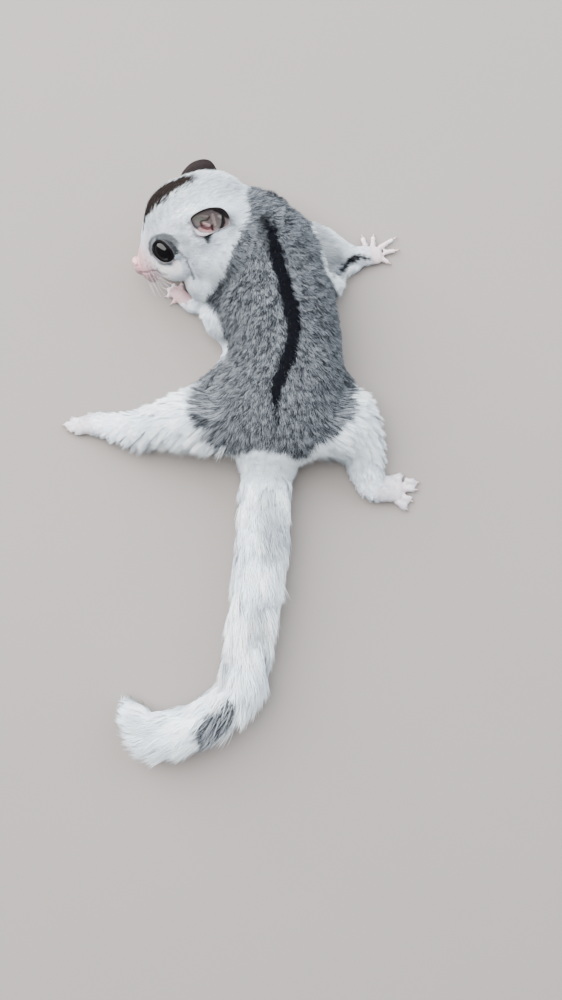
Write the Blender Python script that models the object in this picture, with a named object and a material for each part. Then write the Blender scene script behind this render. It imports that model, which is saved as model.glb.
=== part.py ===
"""A young white-faced mosaic sugar glider lying flat, as a still life-size model.

The body is lofted from named stations, joined into one closed surface, and parted with thin
cuts into head, neck, trunk, legs and tail. Eyes, nose, ears, hands and feet are pieces of their own.
Lengths below are millimetres; the finished meshes are written in metres.
The animal faces -Y, its left side is +X, and it rests on the plane Z = 0.
"""

import math

import bmesh
import bpy
import numpy as np
from mathutils import Vector

MM = 0.001
GAP = 0.3
SHARP_ANGLE = math.radians(50.0)

# Grid sizes of the joined surfaces, and the triangles that each is thinned to
CORE_VOXEL = 0.5
SKIN_VOXEL = 0.35
EXTREMITY_VOXEL = 0.21
CORE_TRIANGLES = 3180
SKIN_TRIANGLES = 200
EXTREMITY_TRIANGLES = 290

# Rings of a run: distance along it, points around it, rings and depth of its rounded ends
RING_SPACING = 1.6
SIDES = 28
END_RINGS = 5
END_DEPTH = 0.85
HEAD_RINGS = 26

# Centre of the belly's flat, which becomes the origin
BELLY = (0.2, 9.2)

# Head: its own axes, the place of its centre, and its roll towards the viewer from above
HEAD_CENTRE = (24.8, -25.5, 16.0)
HEAD_FORWARD = (0.965, 0.26, -0.02)
HEAD_ROLL = math.radians(42.0)

# Head sections: along the nose axis, height of the centre, half height, half width
HEAD_STATIONS = (
    (16.6, -6.1, 2.3, 1.9),
    (15.8, -6.7, 3.8, 3.0),
    (14.4, -6.7, 5.8, 4.3),
    (12.6, -5.1, 7.8, 5.6),
    (8.8, -0.7, 10.9, 8.7),
    (3.0, 0.9, 12.9, 11.6),
    (-4.0, 0.9, 13.7, 13.3),
    (-9.0, 0.6, 13.0, 12.9),
    (-13.0, 0.2, 11.0, 11.2),
    (-16.0, -0.4, 8.0, 8.2),
)

EYE_CENTRE = (7.4, 0.0, 6.9)
EYE_RADIUS = 3.5
EYE_SEGMENTS = 16
EYE_RINGS = 10
NOSE_CENTRE = (16.4, -4.9, 0.0)
NOSE_RADII = (1.2, 1.1, 1.7)
NOSE_RINGS = 7
NOSE_SIDES = 12

# Ears: where the cup stands on the head, the way it points, how far its closed side turns back,
# how far it opens at its foot, and how sharply its rim falls to both ends
EAR_BASE = (-4.5, 3.9, 11.6)
EAR_AXIS = (-0.3, 0.62, 0.72)
EAR_TURN = math.radians(28.0)
EAR_SPAN = math.radians(105.0)
EAR_WIDTH = 5.1
EAR_DEPTH = 5.0
EAR_HEIGHT = 9.2
EAR_SUNK = 1.6
EAR_THICKNESS = 0.6
EAR_FOOT = 0.4
EAR_RIM_ENDS = 0.93
EAR_RIM_FALL = 0.8

# Body runs: x, y, z of the centre, half width, half height
NECK = (
    (1.5, -21.0, 13.4, 12.0, 12.0),
    (6.0, -21.8, 13.8, 13.0, 12.0),
    (11.0, -22.6, 14.4, 13.4, 12.2),
    (16.0, -22.6, 15.2, 13.6, 12.0),
    (21.0, -22.4, 15.4, 13.0, 11.0),
)
TRUNK = (
    (3.8, -31.4, 12.0, 7.2, 6.6),
    (4.2, -29.0, 12.6, 9.2, 9.6),
    (3.6, -24.6, 13.0, 12.3, 11.6),
    (1.4, -9.1, 13.2, 16.2, 13.5),
    (-1.1, 7.4, 13.2, 16.3, 13.6),
    (1.4, 23.3, 12.4, 19.3, 12.8),
    (2.8, 30.2, 11.2, 16.6, 11.6),
    (3.6, 36.0, 9.8, 10.6, 9.8),
)
TAIL = (
    (3.6, 31.0, 9.4, 8.0, 9.2),
    (3.9, 43.0, 8.3, 8.6, 8.6),
    (5.3, 65.3, 7.8, 8.4, 8.1),
    (8.1, 87.8, 7.2, 7.8, 7.5),
    (11.8, 101.2, 6.9, 7.4, 7.2),
    (20.7, 110.8, 6.6, 7.2, 6.9),
    (32.8, 114.0, 6.0, 6.3, 6.3),
    (39.6, 111.6, 5.4, 5.6, 5.7),
    (43.6, 106.8, 4.6, 3.9, 4.9),
)
THIGH_LEFT = (
    (14.7, 26.0, 11.0, 10.2, 10.0),
    (25.3, 26.1, 9.0, 8.9, 9.0),
    (33.9, 27.3, 6.6, 6.7, 6.8),
    (42.6, 28.4, 4.3, 5.1, 4.6),
    (51.3, 27.2, 2.8, 3.5, 3.0),
)
THIGH_RIGHT = (
    (-9.0, 28.0, 10.5, 10.4, 10.0),
    (-15.0, 26.5, 9.8, 11.4, 9.6),
    (-20.0, 29.0, 7.8, 9.0, 7.9),
    (-23.4, 35.0, 5.5, 6.2, 5.6),
    (-24.2, 40.5, 4.2, 5.2, 4.4),
    (-25.6, 45.0, 3.1, 4.3, 3.3),
)
ARM_LEFT = (
    (13.5, -12.6, 11.0, 6.6, 7.0),
    (18.3, -8.6, 7.2, 4.8, 5.2),
    (21.6, -6.8, 4.8, 3.2, 3.5),
    (24.6, -6.4, 3.2, 2.3, 2.5),
    (26.6, -7.2, 2.5, 2.0, 2.1),
)
ARM_RIGHT = (
    (-6.9, -22.5, 11.0, 6.6, 7.0),
    (-11.4, -21.2, 8.5, 6.6, 7.0),
    (-15.4, -20.8, 6.0, 4.9, 5.2),
    (-20.2, -20.6, 3.6, 2.9, 3.0),
    (-24.4, -20.8, 2.5, 2.4, 2.1),
)
SKIN_LEFT = (
    (23.6, -5.6, 2.6, 1.8, 2.0),
    (20.8, -4.2, 2.8, 2.6, 2.8),
    (16.4, 1.3, 3.2, 3.0, 3.2),
    (13.8, 5.8, 3.4, 3.2, 3.4),
    (16.0, 11.5, 3.6, 3.2, 3.5),
    (22.0, 17.0, 3.6, 3.0, 3.4),
    (29.0, 20.6, 3.2, 2.6, 3.1),
)
SKIN_RIGHT = (
    (-21.5, -18.4, 2.6, 2.0, 2.1),
    (-17.6, -15.4, 2.8, 3.0, 2.8),
    (-14.6, -8.5, 3.3, 3.0, 3.3),
    (-14.2, 1.0, 3.5, 3.2, 3.5),
    (-14.8, 10.0, 3.6, 3.2, 3.5),
    (-18.5, 16.5, 3.6, 3.0, 3.5),
)

# Hands and feet: the palm's run, then each digit's knuckle and tip
HAND_LEFT = ((25.4, -6.9, 3.0, 2.2, 2.3), (27.2, -8.2, 2.4, 2.2, 1.9), (28.9, -9.9, 1.6, 2.1, 1.3))
HAND_LEFT_DIGITS = (
    ((28.0, -11.2), (28.6, -14.2)),
    ((29.2, -11.4), (31.8, -13.6)),
    ((30.2, -10.8), (33.6, -11.8)),
    ((30.4, -9.8), (33.6, -9.2)),
    ((29.6, -8.4), (31.8, -6.8)),
)
HAND_RIGHT = (
    (-22.4, -20.7, 2.9, 2.5, 2.4),
    (-25.0, -20.8, 2.2, 2.7, 1.9),
    (-27.6, -20.9, 1.6, 2.5, 1.4),
)
HAND_RIGHT_DIGITS = (
    ((-24.2, -22.8), (-22.9, -27.3)),
    ((-26.0, -23.2), (-26.4, -27.6)),
    ((-28.0, -23.2), (-33.2, -26.5)),
    ((-29.2, -21.8), (-34.0, -22.7)),
    ((-28.8, -20.0), (-31.6, -18.4)),
)
FOOT_LEFT = (
    (50.0, 27.3, 3.0, 3.6, 3.1),
    (54.4, 27.2, 2.2, 3.0, 2.2),
    (57.4, 27.4, 1.5, 2.4, 1.5),
)
FOOT_LEFT_DIGITS = (
    ((53.4, 25.2), (55.2, 23.4)),
    ((57.6, 26.2), (60.6, 25.6)),
    ((58.2, 27.2), (62.6, 27.3)),
    ((57.8, 28.2), (61.4, 28.8)),
    ((56.6, 29.0), (59.0, 30.0)),
)
FOOT_RIGHT = (
    (-26.0, 44.8, 3.1, 4.3, 3.2),
    (-29.8, 45.4, 2.4, 3.9, 2.4),
    (-33.4, 45.6, 1.6, 3.6, 1.6),
)
FOOT_RIGHT_DIGITS = (
    ((-31.0, 42.6), (-35.4, 41.4)),
    ((-35.2, 43.2), (-39.8, 43.6)),
    ((-35.0, 45.2), (-39.4, 45.8)),
    ((-33.8, 47.2), (-38.0, 49.3)),
    ((-32.6, 48.4), (-36.4, 51.8)),
)
FINGER_RADIUS = 0.64
TOE_RADIUS = 0.85
KNUCKLE_HEIGHT = 1.2
FINGER_ARCH = 0.35
CLAW_RADIUS = 0.3
CLAW_REACH = 1.2
CLAW_RISE = 0.25

# Thin upright cuts: both ends of the cut in plan, and the height that it reaches
CUT_FLOOR = -3.0
CUT_TOP = 40.0
CUTS = {
    "neck_head": ((7.5, -44.2), (22.4, -7.65), CUT_TOP),
    "neck_trunk": ((-6.1, -41.0), (20.9, -1.2), CUT_TOP),
    "shoulder_left": ((23.6, -12.6), (20.2, 0.4), 11.0),
    "shoulder_right": ((-9.2, -31.5), (-16.6, -12.0), CUT_TOP),
    "hip_left": ((21.5, 10.5), (17.5, 42.0), CUT_TOP),
    "hip_right": ((-20.5, 12.5), (-11.5, 41.5), CUT_TOP),
    "knee_left": ((33.4, 15.0), (34.6, 37.0), CUT_TOP),
    "knee_right": ((-31.5, 28.5), (-13.5, 40.5), CUT_TOP),
    "wrist_left": ((24.0, -11.6), (28.6, -3.2), CUT_TOP),
    "wrist_right": ((-22.3, -25.5), (-22.9, -16.0), CUT_TOP),
    "ankle_left": ((50.6, 21.0), (50.6, 34.0), CUT_TOP),
    "ankle_right": ((-31.5, 39.0), (-21.0, 50.0), CUT_TOP),
    "tail_root": ((-9.4, 40.5), (16.8, 40.5), CUT_TOP),
    "tail_middle": ((-6.0, 73.2), (18.0, 70.8), CUT_TOP),
    "tail_bend": ((1.2, 104.4), (21.2, 95.6), CUT_TOP),
    "tail_tip": ((28.0, 103.0), (26.2, 124.0), CUT_TOP),
}

# One point inside each node of the parted body
SEEDS = {
    "head": (26.0, -25.5, 16.0),
    "neck": (10.5, -22.5, 14.0),
    "trunk": (0.0, 0.0, 12.0),
    "thigh_left": (28.0, 25.0, 7.0),
    "shin_left": (42.0, 27.3, 4.5),
    "thigh_right": (-20.5, 26.5, 8.0),
    "shin_right": (-25.4, 38.5, 4.2),
    "arm_left": (23.6, -7.6, 4.0),
    "arm_right": (-18.0, -19.5, 4.0),
    "tail_base": (4.6, 55.0, 7.8),
    "tail_middle": (8.1, 88.0, 7.0),
    "tail_bend": (17.0, 107.5, 6.8),
    "tail_tip": (36.0, 113.0, 6.0),
}

FUR_WHITE = ("fur_white", (0.80, 0.80, 0.78), 0.9)
FUR_GREY = ("fur_grey", (0.20, 0.21, 0.215), 0.92)
SKIN_PINK = ("skin_pink", (0.72, 0.45, 0.40), 0.6)
EAR_BROWN = ("ear_brown", (0.20, 0.12, 0.105), 0.7)
EYE_BLACK = ("eye_black", (0.012, 0.008, 0.007), 0.06)
FINISHES = {
    "neck": FUR_GREY,
    "trunk": FUR_GREY,
    "nose": SKIN_PINK,
    "hand": SKIN_PINK,
    "foot": SKIN_PINK,
    "ear": EAR_BROWN,
    "eye": EYE_BLACK,
}


def clear_scene():
    """Remove every object that the scene starts with."""
    for obj in list(bpy.data.objects):
        bpy.data.objects.remove(obj, do_unlink=True)


def smooth_path(stations, rings):
    """Resample the stations to evenly spaced rings on a Catmull-Rom curve through them."""
    rows = np.asarray(stations, float)
    padded = np.vstack([2 * rows[0] - rows[1], rows, 2 * rows[-1] - rows[-2]])
    at = np.linspace(0, len(rows) - 1, 40 * len(rows))
    cell = np.minimum(at.astype(int), len(rows) - 2)
    t = (at - cell)[:, None]
    p0, p1, p2, p3 = (padded[cell + k] for k in range(4))
    dense = 0.5 * (
        2 * p1
        + (p2 - p0) * t
        + (2 * p0 - 5 * p1 + 4 * p2 - p3) * t**2
        + (3 * p1 - p0 - 3 * p2 + p3) * t**3
    )
    steps = np.linalg.norm(np.diff(dense[:, :3], axis=0), axis=1)
    length = np.concatenate([[0], np.cumsum(steps)])
    wanted = np.linspace(0, length[-1], rings)
    return np.column_stack([np.interp(wanted, length, column) for column in dense.T])


def ring_frames(centres):
    """Each ring's tangent, level side axis and upward axis."""
    tangent = np.gradient(centres, axis=0)
    tangent /= np.linalg.norm(tangent, axis=1, keepdims=True)
    side = np.cross(tangent, (0.0, 0.0, 1.0))
    side /= np.linalg.norm(side, axis=1, keepdims=True)
    return tangent, side, np.cross(side, tangent)


def closed_loft(centres, side, up, widths, heights, sides=SIDES):
    """Vertices and faces of elliptical rings, closed by a point at each end."""
    angle = np.linspace(0, 2 * math.pi, sides, endpoint=False)
    ring = (
        centres[:, None, :]
        + side[:, None, :] * (widths[:, None] * np.cos(angle))[..., None]
        + up[:, None, :] * (heights[:, None] * np.sin(angle))[..., None]
    )
    count = len(centres)
    points = np.vstack([ring.reshape(-1, 3), centres[0], centres[-1]])
    first, last = count * sides, count * sides + 1
    faces = []
    for row in range(count - 1):
        for k in range(sides):
            nxt = (k + 1) % sides
            a, b = row * sides + k, row * sides + nxt
            faces.append((a, b, b + sides, a + sides))
    for k in range(sides):
        nxt = (k + 1) % sides
        faces.append((first, nxt, k))
        faces.append((last, (count - 1) * sides + k, (count - 1) * sides + nxt))
    return points, faces


def rounded_ends(path, tangent, side, up, widths, heights):
    """Add rings that close both ends of a run as half ellipsoids."""
    turn = (np.arange(END_RINGS) + 0.8) / END_RINGS * math.pi / 2
    blocks = []
    for end, sign in ((0, -1.0), (-1, 1.0)):
        reach = END_DEPTH * min(widths[end], heights[end])
        centre = path[end] + sign * tangent[end] * reach * np.sin(turn)[:, None]
        shrink = np.cos(turn)
        frame = [np.repeat(axis[end][None], END_RINGS, axis=0) for axis in (side, up)]
        block = [centre, *frame, widths[end] * shrink, heights[end] * shrink]
        blocks.append([part[::-1] for part in block] if end == 0 else block)
    middle = [path, side, up, widths, heights]
    return [np.concatenate([a, b, c]) for a, b, c in zip(blocks[0], middle, blocks[1])]


def body_run(stations, spacing=RING_SPACING, sides=SIDES):
    """A rounded run of the body through its stations."""
    rows = np.asarray(stations, float)
    length = np.linalg.norm(np.diff(rows[:, :3], axis=0), axis=1).sum()
    path = smooth_path(rows, max(4, int(length / spacing)))
    centres, widths, heights = path[:, :3], path[:, 3], path[:, 4]
    tangent, side, up = ring_frames(centres)
    return closed_loft(*rounded_ends(centres, tangent, side, up, widths, heights), sides)


def head_axes():
    """The head's forward, upward and left axes in the world."""
    forward = np.array(HEAD_FORWARD) / np.linalg.norm(HEAD_FORWARD)
    level = np.cross(forward, (0.0, 0.0, 1.0))
    level /= np.linalg.norm(level)
    lift = np.cross(level, forward)
    up = math.cos(HEAD_ROLL) * level + math.sin(HEAD_ROLL) * lift
    return forward, up, np.cross(up, forward)


def head_point(along, up, left):
    """A place in the head, from its own axes to the world."""
    axes = np.array(head_axes())
    return np.array(HEAD_CENTRE) + np.array((along, up, left)) @ axes


def head_run():
    """The head, lofted along its nose axis."""
    rows = [(a, 0.0, b, w, h) for a, b, h, w in HEAD_STATIONS]
    path = smooth_path(rows, HEAD_RINGS)
    forward, up, left = head_axes()
    centres = np.array([head_point(a, b, 0.0) for a, b in path[:, (0, 2)]])
    count = len(path)
    tangent = np.repeat(forward[None], count, axis=0) * np.sign(path[-1, 0] - path[0, 0])
    sideways = np.repeat(-left[None], count, axis=0)
    upward = np.repeat(up[None], count, axis=0)
    return closed_loft(
        *rounded_ends(centres, tangent, sideways, upward, path[:, 3], path[:, 4])
    )


def mesh_object(name, points, faces):
    """A mesh object in the scene, with its faces turned outwards."""
    mesh = bpy.data.meshes.new(name)
    mesh.from_pydata(np.asarray(points, float).tolist(), [], faces)
    work = bmesh.new()
    work.from_mesh(mesh)
    bmesh.ops.recalc_face_normals(work, faces=work.faces)
    work.to_mesh(mesh)
    work.free()
    obj = bpy.data.objects.new(name, mesh)
    bpy.context.scene.collection.objects.link(obj)
    return obj


def combined(shapes):
    """One list of points and faces from several."""
    points, faces = [], []
    for shape_points, shape_faces in shapes:
        start = sum(len(block) for block in points)
        points.append(shape_points)
        faces += [tuple(start + index for index in face) for face in shape_faces]
    return np.vstack(points), faces


def apply_modifiers(obj):
    """Replace the mesh by what its modifiers make of it."""
    graph = bpy.context.evaluated_depsgraph_get()
    made = bpy.data.meshes.new_from_object(obj.evaluated_get(graph))
    obj.modifiers.clear()
    old, obj.data = obj.data, made
    bpy.data.meshes.remove(old)


def fuse(obj, voxel, smoothing):
    """Turn overlapping closed runs into one smooth surface."""
    remesh = obj.modifiers.new("fuse", "REMESH")
    remesh.mode = "VOXEL"
    remesh.voxel_size = voxel
    smooth = obj.modifiers.new("smooth", "SMOOTH")
    smooth.factor = 0.5
    smooth.iterations = smoothing
    apply_modifiers(obj)


def thin_out(obj, triangles):
    """Reduce the mesh to about this many triangles."""
    obj.data.calc_loop_triangles()
    decimate = obj.modifiers.new("thin_out", "DECIMATE")
    decimate.ratio = min(1.0, triangles / len(obj.data.loop_triangles))
    apply_modifiers(obj)


def flatten_below(obj, point=(0.0, 0.0, 0.0), normal=(0.0, 0.0, -1.0)):
    """Cut off what lies beyond a plane and close the cut with a flat face."""
    work = bmesh.new()
    work.from_mesh(obj.data)
    geometry = work.verts[:] + work.edges[:] + work.faces[:]
    cut = bmesh.ops.bisect_plane(
        work, geom=geometry, plane_co=point, plane_no=normal, dist=1e-4, clear_outer=True
    )
    rim = [item for item in cut["geom_cut"] if isinstance(item, bmesh.types.BMEdge)]
    bmesh.ops.contextual_create(work, geom=[edge for edge in rim if edge.is_boundary])
    bmesh.ops.holes_fill(work, edges=[edge for edge in work.edges if edge.is_boundary])
    bmesh.ops.triangulate(work, faces=work.faces[:])
    bmesh.ops.recalc_face_normals(work, faces=work.faces)
    work.to_mesh(obj.data)
    work.free()


def plan_normal(start, end):
    """The level direction square to a cut, on its right-hand side."""
    along = Vector((end[0] - start[0], end[1] - start[1], 0.0)).normalized()
    return Vector((along.y, -along.x, 0.0))


def wall(name, start, end, top):
    """A thin upright cutter between two places in plan."""
    aside = plan_normal(start, end) * GAP / 2
    corners = [Vector((*place, 0.0)) + side for place in (start, end) for side in (aside, -aside)]
    order = (corners[0], corners[1], corners[3], corners[2])
    points = [(corner.x, corner.y, height) for height in (CUT_FLOOR, top) for corner in order]
    faces = [(3, 2, 1, 0), (4, 5, 6, 7)]
    faces += [(k, (k + 1) % 4, (k + 1) % 4 + 4, k + 4) for k in range(4)]
    return mesh_object(name, points, faces)


def cut_away(obj, cutter):
    """Take the cutter's space out of the object, and remove the cutter."""
    boolean = obj.modifiers.new("cut", "BOOLEAN")
    boolean.operation = "DIFFERENCE"
    boolean.solver = "EXACT"
    boolean.object = cutter
    apply_modifiers(obj)
    bpy.data.objects.remove(cutter, do_unlink=True)


def islands(obj):
    """The separate closed pieces of a mesh, as point and face lists."""
    work = bmesh.new()
    work.from_mesh(obj.data)
    work.faces.ensure_lookup_table()
    seen, pieces = set(), []
    for start in work.faces:
        if start.index in seen:
            continue
        seen.add(start.index)
        stack, piece = [start], []
        while stack:
            face = stack.pop()
            piece.append(face)
            for edge in face.edges:
                for other in edge.link_faces:
                    if other.index not in seen:
                        seen.add(other.index)
                        stack.append(other)
        index = {}
        for face in piece:
            for vert in face.verts:
                index.setdefault(vert, len(index))
        points = np.array([vert.co for vert in index])
        faces = [tuple(index[vert] for vert in face.verts) for face in piece]
        pieces.append((points, faces))
    work.free()
    return pieces


def holds(points, faces, seed):
    """True where the seed is inside the closed piece, from its winding."""
    corners = np.array([[points[i] for i in face[:3]] for face in faces]) - np.array(seed)
    a, b, c = corners[:, 0], corners[:, 1], corners[:, 2]
    la, lb, lc = (np.linalg.norm(v, axis=1) for v in (a, b, c))
    volume = np.einsum("ij,ij->i", a, np.cross(b, c))
    spread = (
        la * lb * lc
        + np.einsum("ij,ij->i", a, b) * lc
        + np.einsum("ij,ij->i", b, c) * la
        + np.einsum("ij,ij->i", c, a) * lb
    )
    return abs(2 * np.arctan2(volume, spread).sum()) > 2 * math.pi


def build_core():
    """The whole body without hands, feet, ears, eyes and nose, as one surface."""
    runs = (NECK, TRUNK, TAIL, THIGH_LEFT, THIGH_RIGHT, ARM_LEFT, ARM_RIGHT)
    points, faces = combined([head_run()] + [body_run(run) for run in runs])
    core = mesh_object("core", points, faces)
    fuse(core, CORE_VOXEL, 8)
    thin_out(core, CORE_TRIANGLES)
    flatten_below(core)
    return core


def part_core(core):
    """Part the body with thin cuts and name each piece by the seed that it holds."""
    for start, end, top in CUTS.values():
        cut_away(core, wall("cutter", start, end, top))
    make_triangles(core)
    nodes = {}
    for points, faces in islands(core):
        for name, seed in SEEDS.items():
            if name not in nodes and holds(points, faces, seed):
                nodes[name] = mesh_object(name, points, faces)
                break
    bpy.data.objects.remove(core, do_unlink=True)
    missing = sorted(set(SEEDS) - set(nodes))
    if missing:
        raise ValueError(f"no piece holds the seed of {missing}")
    return nodes


def make_triangles(obj):
    """Make every face a triangle."""
    work = bmesh.new()
    work.from_mesh(obj.data)
    bmesh.ops.triangulate(work, faces=work.faces[:])
    work.to_mesh(obj.data)
    work.free()


def digit_run(knuckle, tip, radius):
    """One finger or toe that arches from its knuckle to the floor, with its claw out to the tip."""
    start = np.array((*knuckle, KNUCKLE_HEIGHT))
    reach = np.array((*tip, radius))
    away = (reach - start) / np.linalg.norm(reach - start)
    end = reach - CLAW_REACH * away
    middle = (start + end) / 2 + np.array((0.0, 0.0, FINGER_ARCH))
    root = end + np.array((0.0, 0.0, CLAW_RISE))
    point = np.array((*tip, CLAW_RADIUS))
    finger = [
        (*start, 1.3 * radius, 1.2 * radius),
        (*middle, 1.05 * radius, radius),
        (*end, radius, radius),
    ]
    claw = [
        (*root, 1.4 * CLAW_RADIUS, 1.5 * CLAW_RADIUS),
        (*(0.4 * root + 0.6 * point), 1.2 * CLAW_RADIUS, 1.3 * CLAW_RADIUS),
        (*point, CLAW_RADIUS, CLAW_RADIUS),
    ]
    return [body_run(finger, 0.5, 12), body_run(claw, 0.3, 10)]


def build_extremity(name, palm, digits, joint, radius):
    """A hand or foot with its digits, cut flat at the floor and at its joint."""
    shapes = [body_run(palm, 0.6, 20)]
    for knuckle, tip in digits:
        shapes += digit_run(knuckle, tip, radius)
    piece = mesh_object(name, *combined(shapes))
    fuse(piece, EXTREMITY_VOXEL, 2)
    thin_out(piece, EXTREMITY_TRIANGLES)
    start, end, _ = CUTS[joint]
    place = Vector((*start, 0.0))
    outward = plan_normal(start, end)
    if outward.dot(Vector((*digits[2][1], 0.0)) - place) < 0:
        outward = -outward
    flatten_below(piece)
    flatten_below(piece, place + outward * GAP / 2, -outward)
    return piece


def build_gliding_skin(name, stations, core):
    """The folded skin between wrist and ankle, cut clear of the body that it lies along."""
    skin = mesh_object(name, *body_run(stations, 1.0, 20))
    fuse(skin, SKIN_VOXEL, 2)
    thin_out(skin, SKIN_TRIANGLES)
    flatten_below(skin)
    cut_away(skin, grown_copy(core, GAP))
    return keep_largest(skin)


def ball(name, centre, radius):
    """A round ball."""
    work = bmesh.new()
    bmesh.ops.create_uvsphere(work, u_segments=EYE_SEGMENTS, v_segments=EYE_RINGS, radius=radius)
    bmesh.ops.translate(work, verts=work.verts, vec=centre)
    mesh = bpy.data.meshes.new(name)
    work.to_mesh(mesh)
    work.free()
    obj = bpy.data.objects.new(name, mesh)
    bpy.context.scene.collection.objects.link(obj)
    return obj


def build_eyes(head):
    """Both eyes, each in a socket that clears it by the gap."""
    for side, sign in (("left", 1.0), ("right", -1.0)):
        along, up, out = EYE_CENTRE
        centre = head_point(along, up, sign * out)
        cut_away(head, ball("cutter", centre, EYE_RADIUS + GAP))
        ball(f"eye_{side}", centre, EYE_RADIUS)


def build_nose(head):
    """The nose pad at the muzzle's tip, in a hollow that clears it by the gap."""
    cut_away(head, nose_pad("cutter", GAP))
    nose_pad("nose", 0.0)


def nose_pad(name, grow):
    """A flattened ball with its long axis across the muzzle."""
    forward, up, left = head_axes()
    radii = np.array(NOSE_RADII) + grow
    turn = (np.arange(NOSE_RINGS) + 0.3) / (NOSE_RINGS - 0.4) * math.pi
    size = np.sin(turn)
    return mesh_object(
        name,
        *closed_loft(
            head_point(*NOSE_CENTRE) - np.cos(turn)[:, None] * radii[2] * left,
            np.repeat(forward[None], NOSE_RINGS, axis=0),
            np.repeat(up[None], NOSE_RINGS, axis=0),
            size * radii[0],
            size * radii[1],
            NOSE_SIDES,
        ),
    )


def ear_surface(sign, rows=6, columns=13):
    """The cupped sheet of an ear: its rim is highest at the closed side and falls to both ends."""
    forward, up, left = head_axes()
    base = head_point(EAR_BASE[0], EAR_BASE[1], sign * EAR_BASE[2])
    axis = EAR_AXIS[0] * forward + EAR_AXIS[1] * up + sign * EAR_AXIS[2] * left
    axis /= np.linalg.norm(axis)
    fore = forward - axis * (forward @ axis)
    fore /= np.linalg.norm(fore)
    back = np.cross(fore, axis) * sign
    across, rise = np.meshgrid(np.linspace(-1, 1, columns), np.linspace(0, 1, rows), indexing="ij")
    turn = EAR_SPAN * across - EAR_TURN
    flare = EAR_FOOT + (1 - EAR_FOOT) * np.sin(0.5 * math.pi * rise)
    rim = EAR_HEIGHT * (1 - (EAR_RIM_ENDS * across) ** 2) ** EAR_RIM_FALL
    height = rim * rise - EAR_SUNK
    return (
        base
        + fore * (EAR_WIDTH * flare * np.sin(turn))[..., None]
        + back * (EAR_DEPTH * flare * np.cos(turn))[..., None]
        + axis * height[..., None]
    )


def build_ear(side, sign, bodies):
    """An ear as a thin shell, cut clear of the bodies that it stands on."""
    grid = ear_surface(sign)
    columns, rows = grid.shape[:2]
    faces = []
    for i in range(columns - 1):
        for j in range(rows - 1):
            a = i * rows + j
            faces.append((a, a + 1, a + rows + 1, a + rows))
    ear = mesh_object(f"ear_{side}", grid.reshape(-1, 3), faces)
    shell = ear.modifiers.new("shell", "SOLIDIFY")
    shell.thickness = EAR_THICKNESS
    shell.offset = 0.0
    apply_modifiers(ear)
    make_triangles(ear)
    for body in bodies:
        cut_away(ear, grown_copy(body, GAP))
    return keep_largest(ear)


def grown_copy(obj, distance):
    """A copy of a closed mesh with every vertex moved out along its normal."""
    grown = obj.copy()
    grown.data = obj.data.copy()
    bpy.context.scene.collection.objects.link(grown)
    count = len(grown.data.vertices)
    places = np.empty(count * 3, np.float32)
    normals = np.empty(count * 3, np.float32)
    grown.data.vertices.foreach_get("co", places)
    grown.data.vertex_normals.foreach_get("vector", normals)
    grown.data.vertices.foreach_set("co", places + distance * normals)
    return grown


def keep_largest(obj):
    """Drop the crumbs that a cut leaves beside the main piece."""
    make_triangles(obj)
    points, faces = max(islands(obj), key=lambda piece: len(piece[1]))
    name = obj.name
    bpy.data.objects.remove(obj, do_unlink=True)
    return mesh_object(name, points, faces)


def finish(obj):
    """Move the origin to the belly's flat, scale to metres, shade and colour the piece."""
    count = len(obj.data.vertices)
    places = np.empty(count * 3, np.float32)
    obj.data.vertices.foreach_get("co", places)
    places = (places.reshape(-1, 3) - (BELLY[0], BELLY[1], 0.0)) * MM
    obj.data.vertices.foreach_set("co", places.ravel())
    obj.data.shade_smooth()
    obj.data.set_sharp_from_angle(angle=SHARP_ANGLE)
    name, colour, roughness = FINISHES.get(obj.name.split("_")[0], FUR_WHITE)
    material = bpy.data.materials.get(name) or bpy.data.materials.new(name)
    material.use_nodes = True
    shader = material.node_tree.nodes["Principled BSDF"]
    shader.inputs["Base Color"].default_value = (*colour, 1.0)
    shader.inputs["Roughness"].default_value = roughness
    shader.inputs["Metallic"].default_value = 0.0
    obj.data.materials.clear()
    obj.data.materials.append(material)


def main():
    """Build every node of the animal."""
    clear_scene()
    core = build_core()
    build_gliding_skin("gliding_skin_left", SKIN_LEFT, core)
    build_gliding_skin("gliding_skin_right", SKIN_RIGHT, core)
    nodes = part_core(core)
    head = nodes["head"]
    build_eyes(head)
    build_nose(head)
    for side, sign in (("left", 1.0), ("right", -1.0)):
        build_ear(side, sign, (head, nodes["neck"]))
    build_extremity("hand_left", HAND_LEFT, HAND_LEFT_DIGITS, "wrist_left", FINGER_RADIUS)
    build_extremity("hand_right", HAND_RIGHT, HAND_RIGHT_DIGITS, "wrist_right", FINGER_RADIUS)
    build_extremity("foot_left", FOOT_LEFT, FOOT_LEFT_DIGITS, "ankle_left", TOE_RADIUS)
    build_extremity("foot_right", FOOT_RIGHT, FOOT_RIGHT_DIGITS, "ankle_right", TOE_RADIUS)
    for obj in list(bpy.data.objects):
        finish(obj)


if __name__ == "__main__":
    main()
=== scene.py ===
"""A young sugar glider lying flat, dressed as a life-size still model.

One skin stands for the flesh, a coat of fine tufts lies over it, and the eyes, ears, nose, claws
and whiskers are pieces of their own. Lengths are millimetres until a mesh is written in metres.
The animal faces -Y, its left side is +X, and it rests on the plane Z = 0.
"""

import itertools
import logging
import math
from dataclasses import dataclass, field
from enum import Enum

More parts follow.
